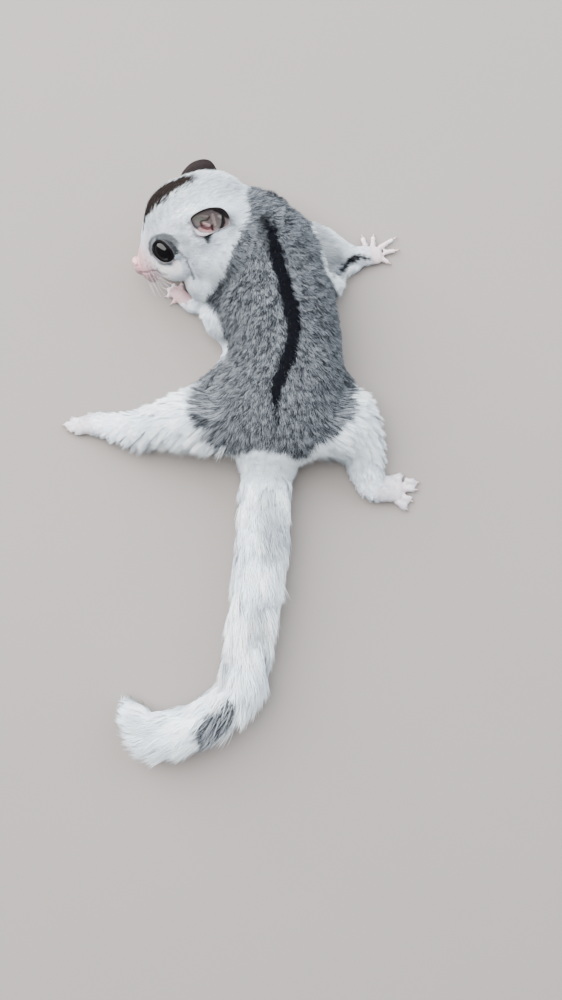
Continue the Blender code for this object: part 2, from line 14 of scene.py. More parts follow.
import bpy
import numpy as np
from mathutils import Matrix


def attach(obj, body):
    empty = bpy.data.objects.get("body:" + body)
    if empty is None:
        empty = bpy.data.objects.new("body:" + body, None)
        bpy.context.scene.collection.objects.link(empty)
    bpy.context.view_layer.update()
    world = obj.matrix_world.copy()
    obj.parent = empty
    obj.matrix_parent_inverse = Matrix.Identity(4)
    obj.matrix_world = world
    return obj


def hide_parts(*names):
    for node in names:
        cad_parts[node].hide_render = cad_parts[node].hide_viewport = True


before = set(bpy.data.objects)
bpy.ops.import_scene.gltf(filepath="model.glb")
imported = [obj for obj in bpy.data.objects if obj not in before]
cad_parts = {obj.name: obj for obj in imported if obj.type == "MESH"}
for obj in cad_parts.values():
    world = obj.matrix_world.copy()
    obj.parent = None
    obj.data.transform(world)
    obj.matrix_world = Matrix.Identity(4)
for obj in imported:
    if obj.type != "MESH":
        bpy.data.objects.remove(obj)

log = logging.getLogger("sugar_glider")

Array = np.ndarray

MM = 0.001
BELLY = np.array((0.2, 9.2, 0.0))
SEED = 20240611

# The photograph's view: straight down, with its middle, focal length and height
VIEW_MIDDLE = np.array((281.0, 500.0))
VIEW_FOCAL = 1190.0
VIEW_HEIGHT = 340.0
VIEW_CENTRE_Y = 48.6
IMAGE_HEIGHT = 1000.0
SENSOR = 36.0

FLOOR_CLEARANCE = 0.03


class Part(Enum):
    """The runs that the body is made of."""

    HEAD = 0
    NECK = 1
    TRUNK = 2
    TAIL = 3
    THIGH_LEFT = 4
    THIGH_RIGHT = 5
    ARM_LEFT = 6
    ARM_RIGHT = 7
    SKIN_LEFT = 8
    SKIN_RIGHT = 9
    HAND_LEFT = 10
    HAND_RIGHT = 11
    FOOT_LEFT = 12
    FOOT_RIGHT = 13


# ---- plain geometry ----


def unit(vectors: Array) -> Array:
    """Vectors divided by their lengths."""
    return vectors / np.maximum(np.linalg.norm(vectors, axis=-1, keepdims=True), 1e-12)


def ramp(value: Array, low: float, high: float) -> Array:
    """Smooth rise from 0 at low to 1 at high: t squared times (3 - 2t)."""
    t = np.clip((value - low) / (high - low), 0.0, 1.0)
    return t * t * (3.0 - 2.0 * t)


def mixed(first: Array, second: Array, share: Array) -> Array:
    """First and second blended by a share from 0 to 1."""
    return first + (second - first) * share


def smooth_path(stations: Array, spacing: float) -> Array:
    """Even rows on a Catmull-Rom curve through the stations.

    Args:
        stations: rows of x, y, z and further values.
        spacing: distance between the new rows.

    Returns:
        Rows like the stations, evenly spaced along the curve.
    """
    rows = np.asarray(stations, float)
    padded = np.vstack([2 * rows[0] - rows[1], rows, 2 * rows[-1] - rows[-2]])
    at = np.linspace(0, len(rows) - 1, 40 * len(rows))
    cell = np.minimum(at.astype(int), len(rows) - 2)
    t = (at - cell)[:, None]
    p0, p1, p2, p3 = (padded[cell + k] for k in range(4))
    dense = 0.5 * (
        2 * p1
        + (p2 - p0) * t
        + (2 * p0 - 5 * p1 + 4 * p2 - p3) * t**2
        + (3 * p1 - p0 - 3 * p2 + p3) * t**3
    )
    steps = np.linalg.norm(np.diff(dense[:, :3], axis=0), axis=1)
    length = np.concatenate([[0.0], np.cumsum(steps)])
    wanted = np.linspace(0.0, length[-1], max(4, int(length[-1] / spacing)))
    return np.column_stack([np.interp(wanted, length, column) for column in dense.T])


def hashed(cells: Array, seed: int) -> Array:
    """A repeatable number from 0 to 1 for each whole-number cell, from its mixed bits."""
    whole = cells.astype(np.int64)
    bits = whole[..., 0] * 73856093 ^ whole[..., 1] * 19349663 ^ whole[..., 2] * 83492791
    bits = (bits ^ (seed * 2654435761)) & 0xFFFFFFFF
    bits = ((bits ^ (bits >> 15)) * 2246822519) & 0xFFFFFFFF
    bits = ((bits ^ (bits >> 13)) * 3266489917) & 0xFFFFFFFF
    return ((bits ^ (bits >> 16)) & 0xFFFFFF) / 0xFFFFFF


def noise(points: Array, size: float, seed: int) -> Array:
    """Smooth noise from -1 to 1: random values on a cubic grid, blended across each cube."""
    scaled = points / size
    cell = np.floor(scaled)
    part = scaled - cell
    part = part * part * (3.0 - 2.0 * part)
    total = np.zeros(len(points))
    for corner in itertools.product((0, 1), repeat=3):
        share = np.prod(np.where(np.array(corner) == 1, part, 1.0 - part), axis=1)
        total += share * hashed(cell + corner, seed)
    return 2.0 * total - 1.0


def nearest_clump(points: Array, size: float, seed: int) -> tuple[Array, Array]:
    """The closest of the random centres, one to each cube of a grid.

    Args:
        points: places to ask for.
        size: edge of a cube.
        seed: which set of centres.

    Returns:
        The vector from each place to its centre, and a number from 0 to 1 for that clump.
    """
    home = np.floor(points / size)
    best = np.full(len(points), np.inf)
    toward = np.zeros_like(points)
    number = np.zeros(len(points))
    for offset in itertools.product((-1, 0, 1), repeat=3):
        cell = home + offset
        jitter = np.stack([hashed(cell, seed + k) for k in range(3)], axis=1)
        step = (cell + jitter) * size - points
        distance = (step**2).sum(1)
        closer = distance < best
        best[closer] = distance[closer]
        toward[closer] = step[closer]
        number[closer] = hashed(cell[closer], seed + 7)
    return toward, number


def seen_at(points: Array) -> Array:
    """Where points show in the photograph's view, in pixels, by central projection."""
    scale = VIEW_FOCAL / (VIEW_HEIGHT - points[:, 2])
    across = VIEW_MIDDLE[0] - points[:, 0] * scale
    down = VIEW_MIDDLE[1] + (points[:, 1] - VIEW_CENTRE_Y) * scale
    return np.column_stack([across, down])


def grid_triangles(rows: int, columns: int, closed: bool) -> Array:
    """Triangles of a grid of points, numbered row by row.

    Args:
        rows: number of rows.
        columns: points in a row.
        closed: whether the last column joins the first.

    Returns:
        Three point numbers per triangle.
    """
    row, column = np.meshgrid(np.arange(rows - 1), np.arange(columns - (not closed)), indexing="ij")
    a = (row * columns + column).ravel()
    b = (row * columns + (column + 1) % columns).ravel()
    return np.vstack([np.column_stack([a, b, b + columns]), np.column_stack([a, b + columns, a + columns])])


def closed_tube(rings: Array) -> tuple[Array, Array]:
    """A tube of rings, closed by a point at each end.

    Args:
        rings: ring by ring, point by point, with the points turning to the left along the tube.

    Returns:
        Points and triangles that face outwards.
    """
    count, sides = rings.shape[:2]
    points = np.vstack([rings.reshape(-1, 3), rings[0].mean(0), rings[-1].mean(0)])
    k = np.arange(sides)
    after = (k + 1) % sides
    first = np.column_stack([np.full(sides, count * sides), after, k])
    base = (count - 1) * sides
    last = np.column_stack([np.full(sides, count * sides + 1), base + k, base + after])
    return points, np.vstack([grid_triangles(count, sides, True), first, last])


def combined(shapes: list[tuple[Array, Array]]) -> tuple[Array, Array]:
    """Several sets of points and triangles as one."""
    starts = np.cumsum([0] + [len(points) for points, _ in shapes[:-1]])
    faces = [triangles + start for (_, triangles), start in zip(shapes, starts)]
    return np.vstack([points for points, _ in shapes]), np.vstack(faces)


def outward(points: Array, triangles: Array) -> Array:
    """The triangles, turned so that the closed shape's volume is positive."""
    a, b, c = (points[triangles[:, k]] for k in range(3))
    volume = np.einsum("ij,ij->i", a, np.cross(b, c)).sum()
    return triangles if volume > 0 else triangles[:, ::-1]


def surface_normals(points: Array, triangles: Array) -> Array:
    """Each point's normal: the area-weighted mean of its triangles' normals."""
    a, b, c = (points[triangles[:, k]] for k in range(3))
    face = np.cross(b - a, c - a)
    corner = triangles.ravel()
    total = np.column_stack(
        [np.bincount(corner, np.repeat(face[:, k], 3), len(points)) for k in range(3)]
    )
    return unit(total)


def bent_tube(path: Array, radii: Array, sides: int = 8, flat: float = 1.0) -> tuple[Array, Array]:
    """A tapering round tube along a path.

    Args:
        path: centres of its rings.
        radii: radius of each ring.
        sides: points round a ring.
        flat: height of a ring against its width.

    Returns:
        Points and triangles; a ring is centre plus radius times (cosine of its side axis plus
        sine of its upward axis).
    """
    tangent = unit(np.gradient(path, axis=0))
    side = unit(np.cross(tangent, (0.02, 0.01, 1.0)))
    up = np.cross(side, tangent)
    angle = np.linspace(0, 2 * math.pi, sides, endpoint=False)[None, :, None]
    ring = side[:, None] * np.cos(angle) + flat * up[:, None] * np.sin(angle)
    points, triangles = closed_tube(path[:, None] + radii[:, None, None] * ring)
    return points, outward(points, triangles)


def rows_of(collection: bpy.types.bpy_prop_collection, name: str, width: int) -> Array:
    """One property of every item of a mesh collection, as rows."""
    values = np.empty(len(collection) * width, np.int32 if name == "vertices" else np.float32)
    collection.foreach_get(name, values)
    return values.reshape(-1, width)


def plain_mesh(name: str, points: Array, triangles: Array) -> bpy.types.Mesh:
    """A mesh straight from points and triangles."""
    mesh = bpy.data.meshes.new(name)
    mesh.vertices.add(len(points))
    mesh.vertices.foreach_set("co", points.astype(np.float32).ravel())
    mesh.loops.add(triangles.size)
    mesh.loops.foreach_set("vertex_index", triangles.astype(np.int32).ravel())
    mesh.polygons.add(len(triangles))
    mesh.polygons.foreach_set("loop_start", np.arange(0, triangles.size, 3, dtype=np.int32))
    mesh.update(calc_edges=True)
    return mesh


def place_piece(
    name: str,
    points: Array,
    triangles: Array,
    material: bpy.types.Material,
    tones: Array | None = None,
    normals: Array | None = None,
    map_places: Array | None = None,
) -> bpy.types.Object:
    """Write a finished piece in metres, dressed, and riding on the body.

    Args:
        name: the piece's name.
        points: places in millimetres.
        triangles: three point numbers each.
        material: what it wears.
        tones: colour of each point, in the attribute "tone".
        normals: shading normal of each point.
        map_places: place of each triangle corner on the map "OFBake".

    Returns:
        The new object.
    """
    mesh = plain_mesh(name, (points - BELLY) * MM, triangles)
    mesh.polygons.foreach_set("use_smooth", np.ones(len(triangles), bool))
    if tones is not None:
        layer = mesh.attributes.new("tone", "FLOAT_COLOR", "POINT")
        rgba = np.column_stack([tones, np.ones(len(tones))]).astype(np.float32)
        layer.data.foreach_set("color", rgba.ravel())
    if map_places is not None:
        layer = mesh.uv_layers.new(name="OFBake")
        layer.uv.foreach_set("vector", map_places.astype(np.float32).ravel())
    if normals is not None:
        mesh.normals_split_custom_set_from_vertices(normals.astype(np.float32))
    mesh.materials.append(material)
    piece = bpy.data.objects.new(name, mesh)
    bpy.context.scene.collection.objects.link(piece)
    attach(piece, "root")
    log.info("%s: %d triangles", name, len(triangles))
    return piece


# ---- the body's runs ----

HEAD_CENTRE = np.array((24.8, -25.5, 16.0))
HEAD_FORWARD = (0.965, 0.26, -0.02)
HEAD_ROLL = math.radians(42.0)
HEAD_STATIONS = (
    (16.2, -7.1, 2.8, 2.5),
    (15.5, -7.3, 4.4, 4.1),
    (14.2, -6.9, 6.1, 5.0),
    (12.6, -5.1, 7.8, 5.6),
    (8.8, -0.7, 10.9, 8.7),
    (3.0, 0.9, 12.9, 11.6),
    (-4.0, 0.9, 13.7, 13.3),
    (-9.0, 0.6, 13.0, 12.9),
    (-13.0, 0.2, 11.0, 11.2),
    (-16.0, -0.4, 8.0, 8.2),
)
BODY_STATIONS = {
    Part.NECK: (
        (1.5, -21.0, 13.4, 12.0, 12.0),
        (6.0, -21.8, 13.8, 13.0, 12.0),
        (11.0, -22.6, 14.4, 13.4, 12.2),
        (16.0, -22.6, 15.2, 13.6, 12.0),
        (21.0, -22.4, 15.4, 13.0, 11.0),
    ),
    Part.TRUNK: (
        (3.8, -31.4, 12.0, 7.2, 6.6),
        (4.2, -29.0, 12.6, 9.2, 9.6),
        (3.6, -24.6, 13.0, 12.3, 11.6),
        (1.4, -9.1, 13.2, 16.2, 13.5),
        (-1.1, 7.4, 13.2, 16.3, 13.6),
        (1.4, 23.3, 12.4, 19.3, 12.8),
        (2.8, 30.2, 11.2, 16.6, 11.6),
        (3.6, 36.0, 9.6, 9.6, 9.4),
    ),
    Part.TAIL: (
        (3.6, 31.0, 9.4, 7.4, 9.0),
        (4.1, 43.0, 8.3, 7.6, 8.4),
        (5.7, 65.3, 7.8, 7.3, 8.0),
        (8.9, 87.8, 7.2, 6.7, 7.3),
        (11.9, 100.8, 6.9, 6.5, 6.8),
        (20.9, 110.2, 6.6, 6.5, 6.6),
        (32.8, 114.0, 6.0, 6.3, 6.3),
        (39.0, 111.4, 5.4, 5.2, 5.5),
        (42.9, 107.6, 4.8, 3.9, 4.6),
    ),
    Part.THIGH_LEFT: (
        (14.7, 25.5, 11.0, 9.7, 10.0),
        (25.3, 25.4, 9.0, 8.2, 9.0),
        (33.9, 26.6, 6.6, 6.0, 6.8),
        (42.6, 28.4, 4.3, 5.1, 4.6),
        (51.3, 27.2, 2.8, 3.5, 3.0),
    ),
    Part.THIGH_RIGHT: (
        (-9.0, 27.2, 10.5, 9.0, 10.0),
        (-15.5, 26.0, 9.8, 10.6, 9.6),
        (-20.0, 29.0, 7.8, 9.0, 7.9),
        (-23.4, 35.0, 5.5, 6.2, 5.6),
        (-24.2, 40.5, 4.2, 5.2, 4.4),
        (-25.6, 45.0, 3.1, 4.3, 3.3),
    ),
    Part.ARM_LEFT: (
        (13.5, -12.6, 11.0, 6.6, 7.0),
        (18.3, -8.6, 7.2, 4.8, 5.2),
        (21.6, -6.8, 4.8, 3.2, 3.5),
        (24.6, -6.4, 3.2, 2.3, 2.5),
        (26.6, -7.2, 2.5, 2.0, 2.1),
    ),
    Part.ARM_RIGHT: (
        (-6.9, -22.5, 11.0, 6.6, 7.0),
        (-11.4, -21.2, 8.5, 6.6, 7.0),
        (-15.4, -20.8, 6.0, 4.9, 5.2),
        (-20.2, -20.6, 3.6, 2.9, 3.0),
        (-24.4, -20.8, 2.5, 2.4, 2.1),
    ),
    Part.SKIN_LEFT: (
        (23.6, -5.6, 2.6, 1.8, 2.0),
        (20.8, -4.2, 2.8, 2.6, 2.8),
        (16.4, 1.3, 3.2, 3.0, 3.2),
        (13.8, 5.8, 3.4, 3.2, 3.4),
        (16.0, 11.5, 3.6, 3.2, 3.5),
        (22.0, 17.0, 3.6, 3.0, 3.4),
        (29.0, 20.6, 3.2, 2.6, 3.1),
    ),
    Part.SKIN_RIGHT: (
        (-23.2, -18.9, 2.5, 1.9, 1.9),
        (-20.0, -17.4, 2.6, 2.4, 2.3),
        (-16.9, -15.8, 2.9, 2.7, 2.7),
        (-13.4, -9.6, 3.3, 2.3, 3.0),
        (-14.2, 1.0, 3.5, 3.2, 3.5),
        (-14.8, 10.0, 3.6, 3.2, 3.5),
        (-18.5, 16.5, 3.6, 3.0, 3.5),
    ),
    Part.HAND_LEFT: ((25.4, -6.9, 3.0, 2.2, 2.3), (27.2, -8.2, 2.4, 2.2, 1.9), (28.9, -9.9, 1.6, 2.1, 1.3)),
    Part.HAND_RIGHT: (
        (-22.4, -20.7, 2.9, 2.5, 2.4),
        (-25.0, -20.8, 2.2, 2.7, 1.9),
        (-27.6, -20.9, 1.6, 2.5, 1.4),
    ),
    Part.FOOT_LEFT: (
        (50.0, 27.3, 3.0, 3.6, 3.1),
        (54.4, 27.2, 2.2, 3.0, 2.2),
        (57.4, 27.4, 1.5, 2.5, 1.5),
        (59.6, 27.5, 1.2, 1.9, 1.1),
    ),
    Part.FOOT_RIGHT: (
        (-26.0, 44.8, 3.1, 4.3, 3.2),
        (-29.8, 45.4, 2.4, 3.9, 2.4),
        (-33.4, 45.6, 1.6, 3.6, 1.6),
    ),
}
DIGITS = {
    Part.HAND_LEFT: (
        ((28.0, -11.2), (28.6, -14.2)),
        ((29.2, -11.4), (31.8, -13.6)),
        ((30.2, -10.8), (33.6, -11.8)),
        ((30.4, -9.8), (33.6, -9.2)),
        ((29.6, -8.4), (31.8, -6.8)),
    ),
    Part.HAND_RIGHT: (
        ((-24.2, -22.8), (-22.9, -27.3)),
        ((-26.0, -23.2), (-26.4, -27.6)),
        ((-28.0, -23.2), (-33.2, -26.5)),
        ((-29.2, -21.8), (-34.0, -22.7)),
        ((-28.8, -20.0), (-31.6, -18.4)),
    ),
    Part.FOOT_LEFT: (
        ((53.4, 25.2), (55.2, 23.4)),
        ((57.6, 26.2), (60.6, 25.6)),
        ((58.2, 27.2), (62.6, 27.3)),
        ((57.8, 28.2), (61.4, 28.8)),
        ((56.6, 29.0), (59.0, 30.0)),
    ),
    Part.FOOT_RIGHT: (
        ((-31.0, 42.6), (-35.4, 41.4)),
        ((-35.2, 43.2), (-39.8, 43.6)),
        ((-35.0, 45.2), (-39.4, 45.8)),
        ((-33.8, 47.2), (-38.0, 49.3)),
        ((-32.6, 48.4), (-36.4, 51.8)),
    ),
}
# Soft places between the runs, as balls: centre, and half sizes
FILLS = (
    ((28.5, -17.2, 15.2), (7.0, 5.9, 5.8)),
    ((21.3, -12.8, 12.0), (5.4, 6.2, 6.0)),
    ((16.4, -4.4, 7.0), (5.6, 7.4, 5.4)),
    ((-13.6, -14.4, 5.8), (3.9, 6.0, 4.6)),
)
FINGER_RADIUS = 0.66
TOE_RADIUS = 0.95
KNUCKLE_HEIGHT = 1.15
FINGER_ARCH = 0.3
CLAW_REACH = 1.2

EYE_CENTRE = (7.4, -0.25, 7.4)
EYE_AXIS = (0.355, 0.323, 0.877)
EYE_RADIUS = 3.7
EYE_OPENING = math.radians(42.5)
EYE_SLANT = math.radians(8.5)
EYE_TILT = math.radians(60.0)

EAR_BASE = (-4.5, 3.9, 11.6)
EAR_AXIS = (-0.3, 0.62, 0.72)
EAR_SHIFT = (0.85, 0.15)
EAR_TURN = math.radians(30.0)
EAR_SPAN = math.radians(90.0)
EAR_WIDTH = 6.3
EAR_DEPTH = 4.1
EAR_HEIGHT = 9.2
EAR_SUNK = 1.6
EAR_FOOT = 0.42
EAR_RIM_ENDS = 0.93
EAR_RIM_FALL = 1.1
EAR_OPEN_SIDE = 0.8
EAR_FLOOR = 0.3
EAR_LIP = 0.15


@dataclass(frozen=True)
class CoatStyle:
    """How the coat is on one run, at its start and at its end.

    Attributes:
        depth: how far the skin lies inside the outline.
        length: length of the tufts.
        change: where along the run the first values turn into the second ones.
        lean: angle between the tufts and the skin, in degrees.
        radius: half width of a tuft at its root.
        pull: how far the tufts are drawn to the middle of their clump.
        clump: distance between clumps.
        swirl: how far the tufts turn from the lie, against the trunk's.
        ragged: how much longer one clump is than another.
    """

    depth: tuple[float, float]
    length: tuple[float, float]
    change: tuple[float, float]
    lean: float
    radius: float
    pull: float
    clump: float
    swirl: float = 0.6
    ragged: float = 0.4

    def share(self, along: Array) -> Array:
        """How far the change has come at places along the run."""
        return ramp(along, *self.change)


BODY_COAT = CoatStyle((1.8, 1.8), (2.3, 3.4), (0.75, 1.0), 40.0, 0.105, 0.7, 0.8, 1.0)
LEG_COAT = CoatStyle((1.7, 0.35), (4.0, 1.3), (0.4, 1.0), 22.0, 0.11, 0.8, 1.5, 0.35, 0.75)
ARM_COAT = CoatStyle((1.0, 0.2), (2.4, 0.9), (0.4, 1.0), 22.0, 0.09, 0.6, 1.0)
SIDE_COAT = CoatStyle((0.8, 0.8), (2.3, 2.6), (0.0, 1.0), 20.0, 0.09, 0.7, 1.1)
FOOT_COAT = CoatStyle((0.25, 0.25), (1.2, 0.9), (0.0, 1.0), 16.0, 0.07, 0.3, 1.0)
HAND_COAT = CoatStyle((0.12, 0.12), (0.8, 0.5), (0.0, 0.8), 15.0, 0.055, 0.2, 1.0)
COAT = {
    Part.HEAD: CoatStyle((0.3, 1.0), (0.7, 1.9), (0.05, 0.45), 22.0, 0.085, 0.45, 0.75),
    Part.NECK: CoatStyle((1.5, 1.5), (2.3, 2.4), (0.0, 1.0), 38.0, 0.105, 0.7, 0.8, 1.0),
    Part.TRUNK: BODY_COAT,
    Part.TAIL: CoatStyle((1.6, 2.3), (4.2, 8.0), (0.0, 0.35), 19.0, 0.14, 0.85, 1.7, 0.6, 0.7),
    Part.THIGH_LEFT: LEG_COAT,
    Part.THIGH_RIGHT: LEG_COAT,
    Part.ARM_LEFT: ARM_COAT,
    Part.ARM_RIGHT: ARM_COAT,
    Part.SKIN_LEFT: SIDE_COAT,
    Part.SKIN_RIGHT: SIDE_COAT,
    Part.HAND_LEFT: HAND_COAT,
    Part.HAND_RIGHT: HAND_COAT,
    Part.FOOT_LEFT: FOOT_COAT,
    Part.FOOT_RIGHT: FOOT_COAT,
}


class HeadFrame:
    """The head's own axes: forward along the nose, up through the crown, and its left."""

    def __init__(self) -> None:
        """Work the axes out from the nose's direction and the roll about it."""
        forward = unit(np.array(HEAD_FORWARD))
        level = unit(np.cross(forward, (0.0, 0.0, 1.0)))
        lift = np.cross(level, forward)
        up = math.cos(HEAD_ROLL) * level + math.sin(HEAD_ROLL) * lift
        self.forward = forward
        self.up = up
        self.left = np.cross(up, forward)
        self.axes = np.array((self.forward, self.up, self.left))

    def place(self, along: Array, up: Array, left: Array) -> Array:
        """Places in the head, from its own axes to the world."""
        return HEAD_CENTRE + np.stack(np.broadcast_arrays(along, up, left), axis=-1) @ self.axes

    def direction(self, along: float, up: float, left: float) -> Array:
        """A unit vector, from the head's axes to the world."""
        return unit(np.array((along, up, left)) @ self.axes)

    def local(self, points: Array) -> Array:
        """Places in the world, measured along the head's axes."""
        return (points - HEAD_CENTRE) @ self.axes.T


HEAD = HeadFrame()


@dataclass
class Track:
    """The rings of one run: centres, frames and half sizes, in the order in which the coat lies."""

    part: Part
    centres: Array
    tangent: Array
    side: Array
    up: Array
    widths: Array
    heights: Array

    def claim(self) -> Array:
        """How strongly each ring claims the skin: the neck leaves the cheeks to the head."""
        along = np.linspace(0.0, 1.0, len(self.centres))
        return 0.55 + 0.45 * ramp(along, 0.0, 0.5) if self.part is Part.NECK else np.ones(len(along))

    def shape(self, sides: int = 36, end_rings: int = 6) -> tuple[Array, Array]:
        """The run inside its coat, as a closed surface with ends rounded as half ellipsoids.

        Args:
            sides: points round a ring.
            end_rings: rings of each rounded end.

        Returns:
            Points and triangles; a ring is centre plus width times cosine times the side axis
            plus height times sine times the upward axis.
        """
        turn = (np.arange(end_rings) + 0.8) / end_rings * math.pi / 2
        style = COAT[self.part]
        shrink = mixed(*style.depth, style.share(np.linspace(0.0, 1.0, len(self.centres))))
        widths = np.maximum(self.widths - shrink, 0.35)
        heights = np.maximum(self.heights - shrink, 0.35)
        blocks = []
        for end, sign in ((0, -1.0), (-1, 1.0)):
            reach = 0.85 * min(widths[end], heights[end])
            centre = self.centres[end] + sign * self.tangent[end] * (reach * np.sin(turn))[:, None]
            frames = [np.repeat(axis[end][None], end_rings, axis=0) for axis in (self.side, self.up)]
            block = [centre, *frames, widths[end] * np.cos(turn), heights[end] * np.cos(turn)]
            blocks.append([rows[::-1] for rows in block] if end == 0 else block)
        middle = [self.centres, self.side, self.up, widths, heights]
        centre, side, up, wide, high = (
            np.concatenate([a, b, c]) for a, b, c in zip(blocks[0], middle, blocks[1])
        )
        angle = np.linspace(0, 2 * math.pi, sides, endpoint=False)
        rings = (
            centre[:, None]
            + side[:, None] * (wide[:, None] * np.cos(angle))[..., None]
            + up[:, None] * (high[:, None] * np.sin(angle))[..., None]
        )
        points, triangles = closed_tube(rings)
        return points, outward(points, triangles)

    def locate(self, points: Array) -> tuple[Array, Array]:
        """How far along the run points lie, from 0 to 1, and their angle round it."""
        squares = (points**2).sum(1)[:, None] - 2 * points @ self.centres.T + (self.centres**2).sum(1)
        near = squares.argmin(1)
        step = points - self.centres[near]
        spacing = np.linalg.norm(self.centres[1] - self.centres[0])
        past = np.einsum("ij,ij->i", step, self.tangent[near]) / spacing
        along = (near + np.clip(past, -0.5, 0.5)) / (len(self.centres) - 1)
        angle = np.arctan2(
            np.einsum("ij,ij->i", step, self.up[near]), np.einsum("ij,ij->i", step, self.side[near])
        )
        return np.clip(along, 0.0, 1.0), angle


def level_track(part: Part, stations: Array, spacing: float) -> Track:
    """A run whose rings stand square to its path, with level side axes."""
    rows = smooth_path(stations, spacing)
    tangent = unit(np.gradient(rows[:, :3], axis=0))
    side = unit(np.cross(tangent, (0.0, 0.0, 1.0)))
    return Track(part, rows[:, :3], tangent, side, np.cross(side, tangent), rows[:, 3], rows[:, 4])


def head_track(spacing: float) -> Track:
    """The head's run, from the nose back, with rings square to the nose axis."""
    rows = smooth_path(np.array([(a, 0.0, b, w, h) for a, b, h, w in HEAD_STATIONS]), spacing)
    count = len(rows)
    centres = HEAD.place(rows[:, 0], rows[:, 2], np.zeros(count))
    tangent, side, up = (np.repeat(v[None], count, axis=0) for v in (-HEAD.forward, HEAD.left, HEAD.up))
    return Track(Part.HEAD, centres, tangent, side, up, rows[:, 3], rows[:, 4])


def body_tracks() -> list[Track]:
    """Every run of the body, each laid in the direction of its coat."""
    tracks = [head_track(1.0)]
    for part, stations in BODY_STATIONS.items():
        rows = stations[::-1] if part is Part.NECK else stations
        tracks.append(level_track(part, np.array(rows), 1.0))
    return tracks


def digit_path(part: Part, knuckle: tuple, tip: tuple) -> Array:
    """Knuckle, arched middle and end of a digit; its claw goes on from the end."""
    radius = TOE_RADIUS if part in (Part.FOOT_LEFT, Part.FOOT_RIGHT) else FINGER_RADIUS
    start = np.array((*knuckle, KNUCKLE_HEIGHT))
    reach = np.array((*tip, radius))
    end = reach - CLAW_REACH * unit(reach - start)
    middle = (start + end) / 2 + np.array((0.0, 0.0, FINGER_ARCH))
    return np.array((start, middle, end))


# ---- markings ----


def stroke(seen: Array, line: tuple, soft: float) -> Array:
    """A painted stroke: 1 within half its width of the line, and falling to 0 past that.

    Args:
        seen: places in the photograph's view.
        line: rows of across, down and width, in pixels.
        soft: how many pixels the edge takes to fade.

    Returns:
        Strength from 0 to 1 for each place.
    """
    rows = np.array(line, float)
    nearest = np.full(len(seen), np.inf)
    for start, end in zip(rows[:-1], rows[1:]):
        span = end[:2] - start[:2]
        t = np.clip((seen - start[:2]) @ span / (span @ span), 0.0, 1.0)
        gap = np.linalg.norm(seen - start[:2] - t[:, None] * span, axis=1)
        nearest = np.minimum(nearest, gap - 0.5 * (start[2] + (end[2] - start[2]) * t))
    return 1.0 - ramp(nearest, -soft / 2, soft / 2)


def patch(seen: Array, outline: tuple, soft: float) -> Array:
    """A painted patch: 1 inside its outline, 0 outside, with a soft edge.

    Args:
        seen: places in the photograph's view.
        outline: corners, in pixels.
        soft: width of the edge, in pixels.

    Returns:
        Strength from 0 to 1; inside is where the outline is crossed an odd number of times.
    """
    corners = np.array(outline, float)
    inside = np.zeros(len(seen), bool)
    nearest = np.full(len(seen), np.inf)
    for start, end in zip(corners, np.roll(corners, -1, axis=0)):
        span = end - start
        t = np.clip((seen - start) @ span / (span @ span), 0.0, 1.0)
        nearest = np.minimum(nearest, np.linalg.norm(seen - start - t[:, None] * span, axis=1))
        crosses = (start[1] > seen[:, 1]) != (end[1] > seen[:, 1])
        rise = span[1] if abs(span[1]) > 1e-9 else 1e-9
        inside ^= crosses & (seen[:, 0] < start[0] + (seen[:, 1] - start[1]) * span[0] / rise)
    return ramp(np.where(inside, nearest, -nearest), -soft / 2, soft / 2)


# Places in the photograph's view, in pixels: the grey back's outline, and strokes with their widths
GREY_BACK = (
    (246, 178), (245, 190), (246, 202), (246, 215), (244, 225), (239, 235), (233, 245), (229, 255),
    (225, 263), (223, 275), (217, 282), (212, 290), (206, 297), (206, 302), (214, 312), (221, 325),
    (226, 340), (225, 350), (217, 357), (206, 368), (200, 376), (197, 386), (195, 396), (193, 406),
    (192, 416), (196, 426), (205, 436), (213, 445), (225, 451), (240, 453), (255, 449), (270, 449),
    (285, 453), (297, 459), (306, 456), (318, 446), (330, 438), (340, 431), (350, 421), (355, 410),
    (357, 397), (356, 386), (352, 376), (352, 350), (350, 320), (344, 300), (337, 290), (331, 280),
    (325, 270), (322, 256), (320, 243), (311, 228), (310, 200), (285, 182),
)
# How wide the forehead's stripe is to each side, in degrees, at places along the head
STRIPE_HALF = ((-8.0, -5.0, -2.0, 1.0, 3.0, 8.0, 10.6, 12.5, 14.0), (4.0, 8.0, 10.5, 13.0, 15.0, 17.0, 10.5, 7.0, 4.0))
BACK_STRIPE = (
    (265, 219, 5), (269, 227, 8), (273, 236, 11), (277, 250, 13), (280, 265, 14),
    (284, 280, 14), (288, 295, 15), (292, 310, 15), (294, 325, 15), (293, 340, 14), (291, 353, 14),
    (286, 365, 15), (281, 376, 13), (277, 388, 12), (275, 398, 9), (277, 408, 6),
)
STRIPE_END = ((277, 405, 7), (278, 420, 8), (277, 432, 7), (275, 442, 5))
NAPE_SHADE = ((252, 202, 6), (257, 209, 12), (263, 220, 15), (269, 234, 16), (274, 248, 14))
ARM_STREAK = (
    (337, 277, 3), (341, 271, 5), (345, 265, 6.5), (350, 260.5, 8), (356, 257.5, 8), (363, 257, 6), (370, 259, 3),
)
ARM_SHADE = ((316, 226, 10), (324, 244, 20), (334, 262, 22), (338, 280, 14))
# painted shade along the cheek's crease and the mouth's slit; both are also pressed in as grooves
CHEEK_LINE = ((177, 249, 1.0), (181, 253, 1.4), (185, 258, 1.8), (189, 265, 2.0), (192, 273, 2.2), (194, 279, 2.4))
MOUTH_LINE = ((140, 272, 1.0), (146, 272.5, 1.2), (152, 271, 1.4), (157, 270.5, 2.0), (161, 273.5, 1.8), (167, 275.5, 1.4))
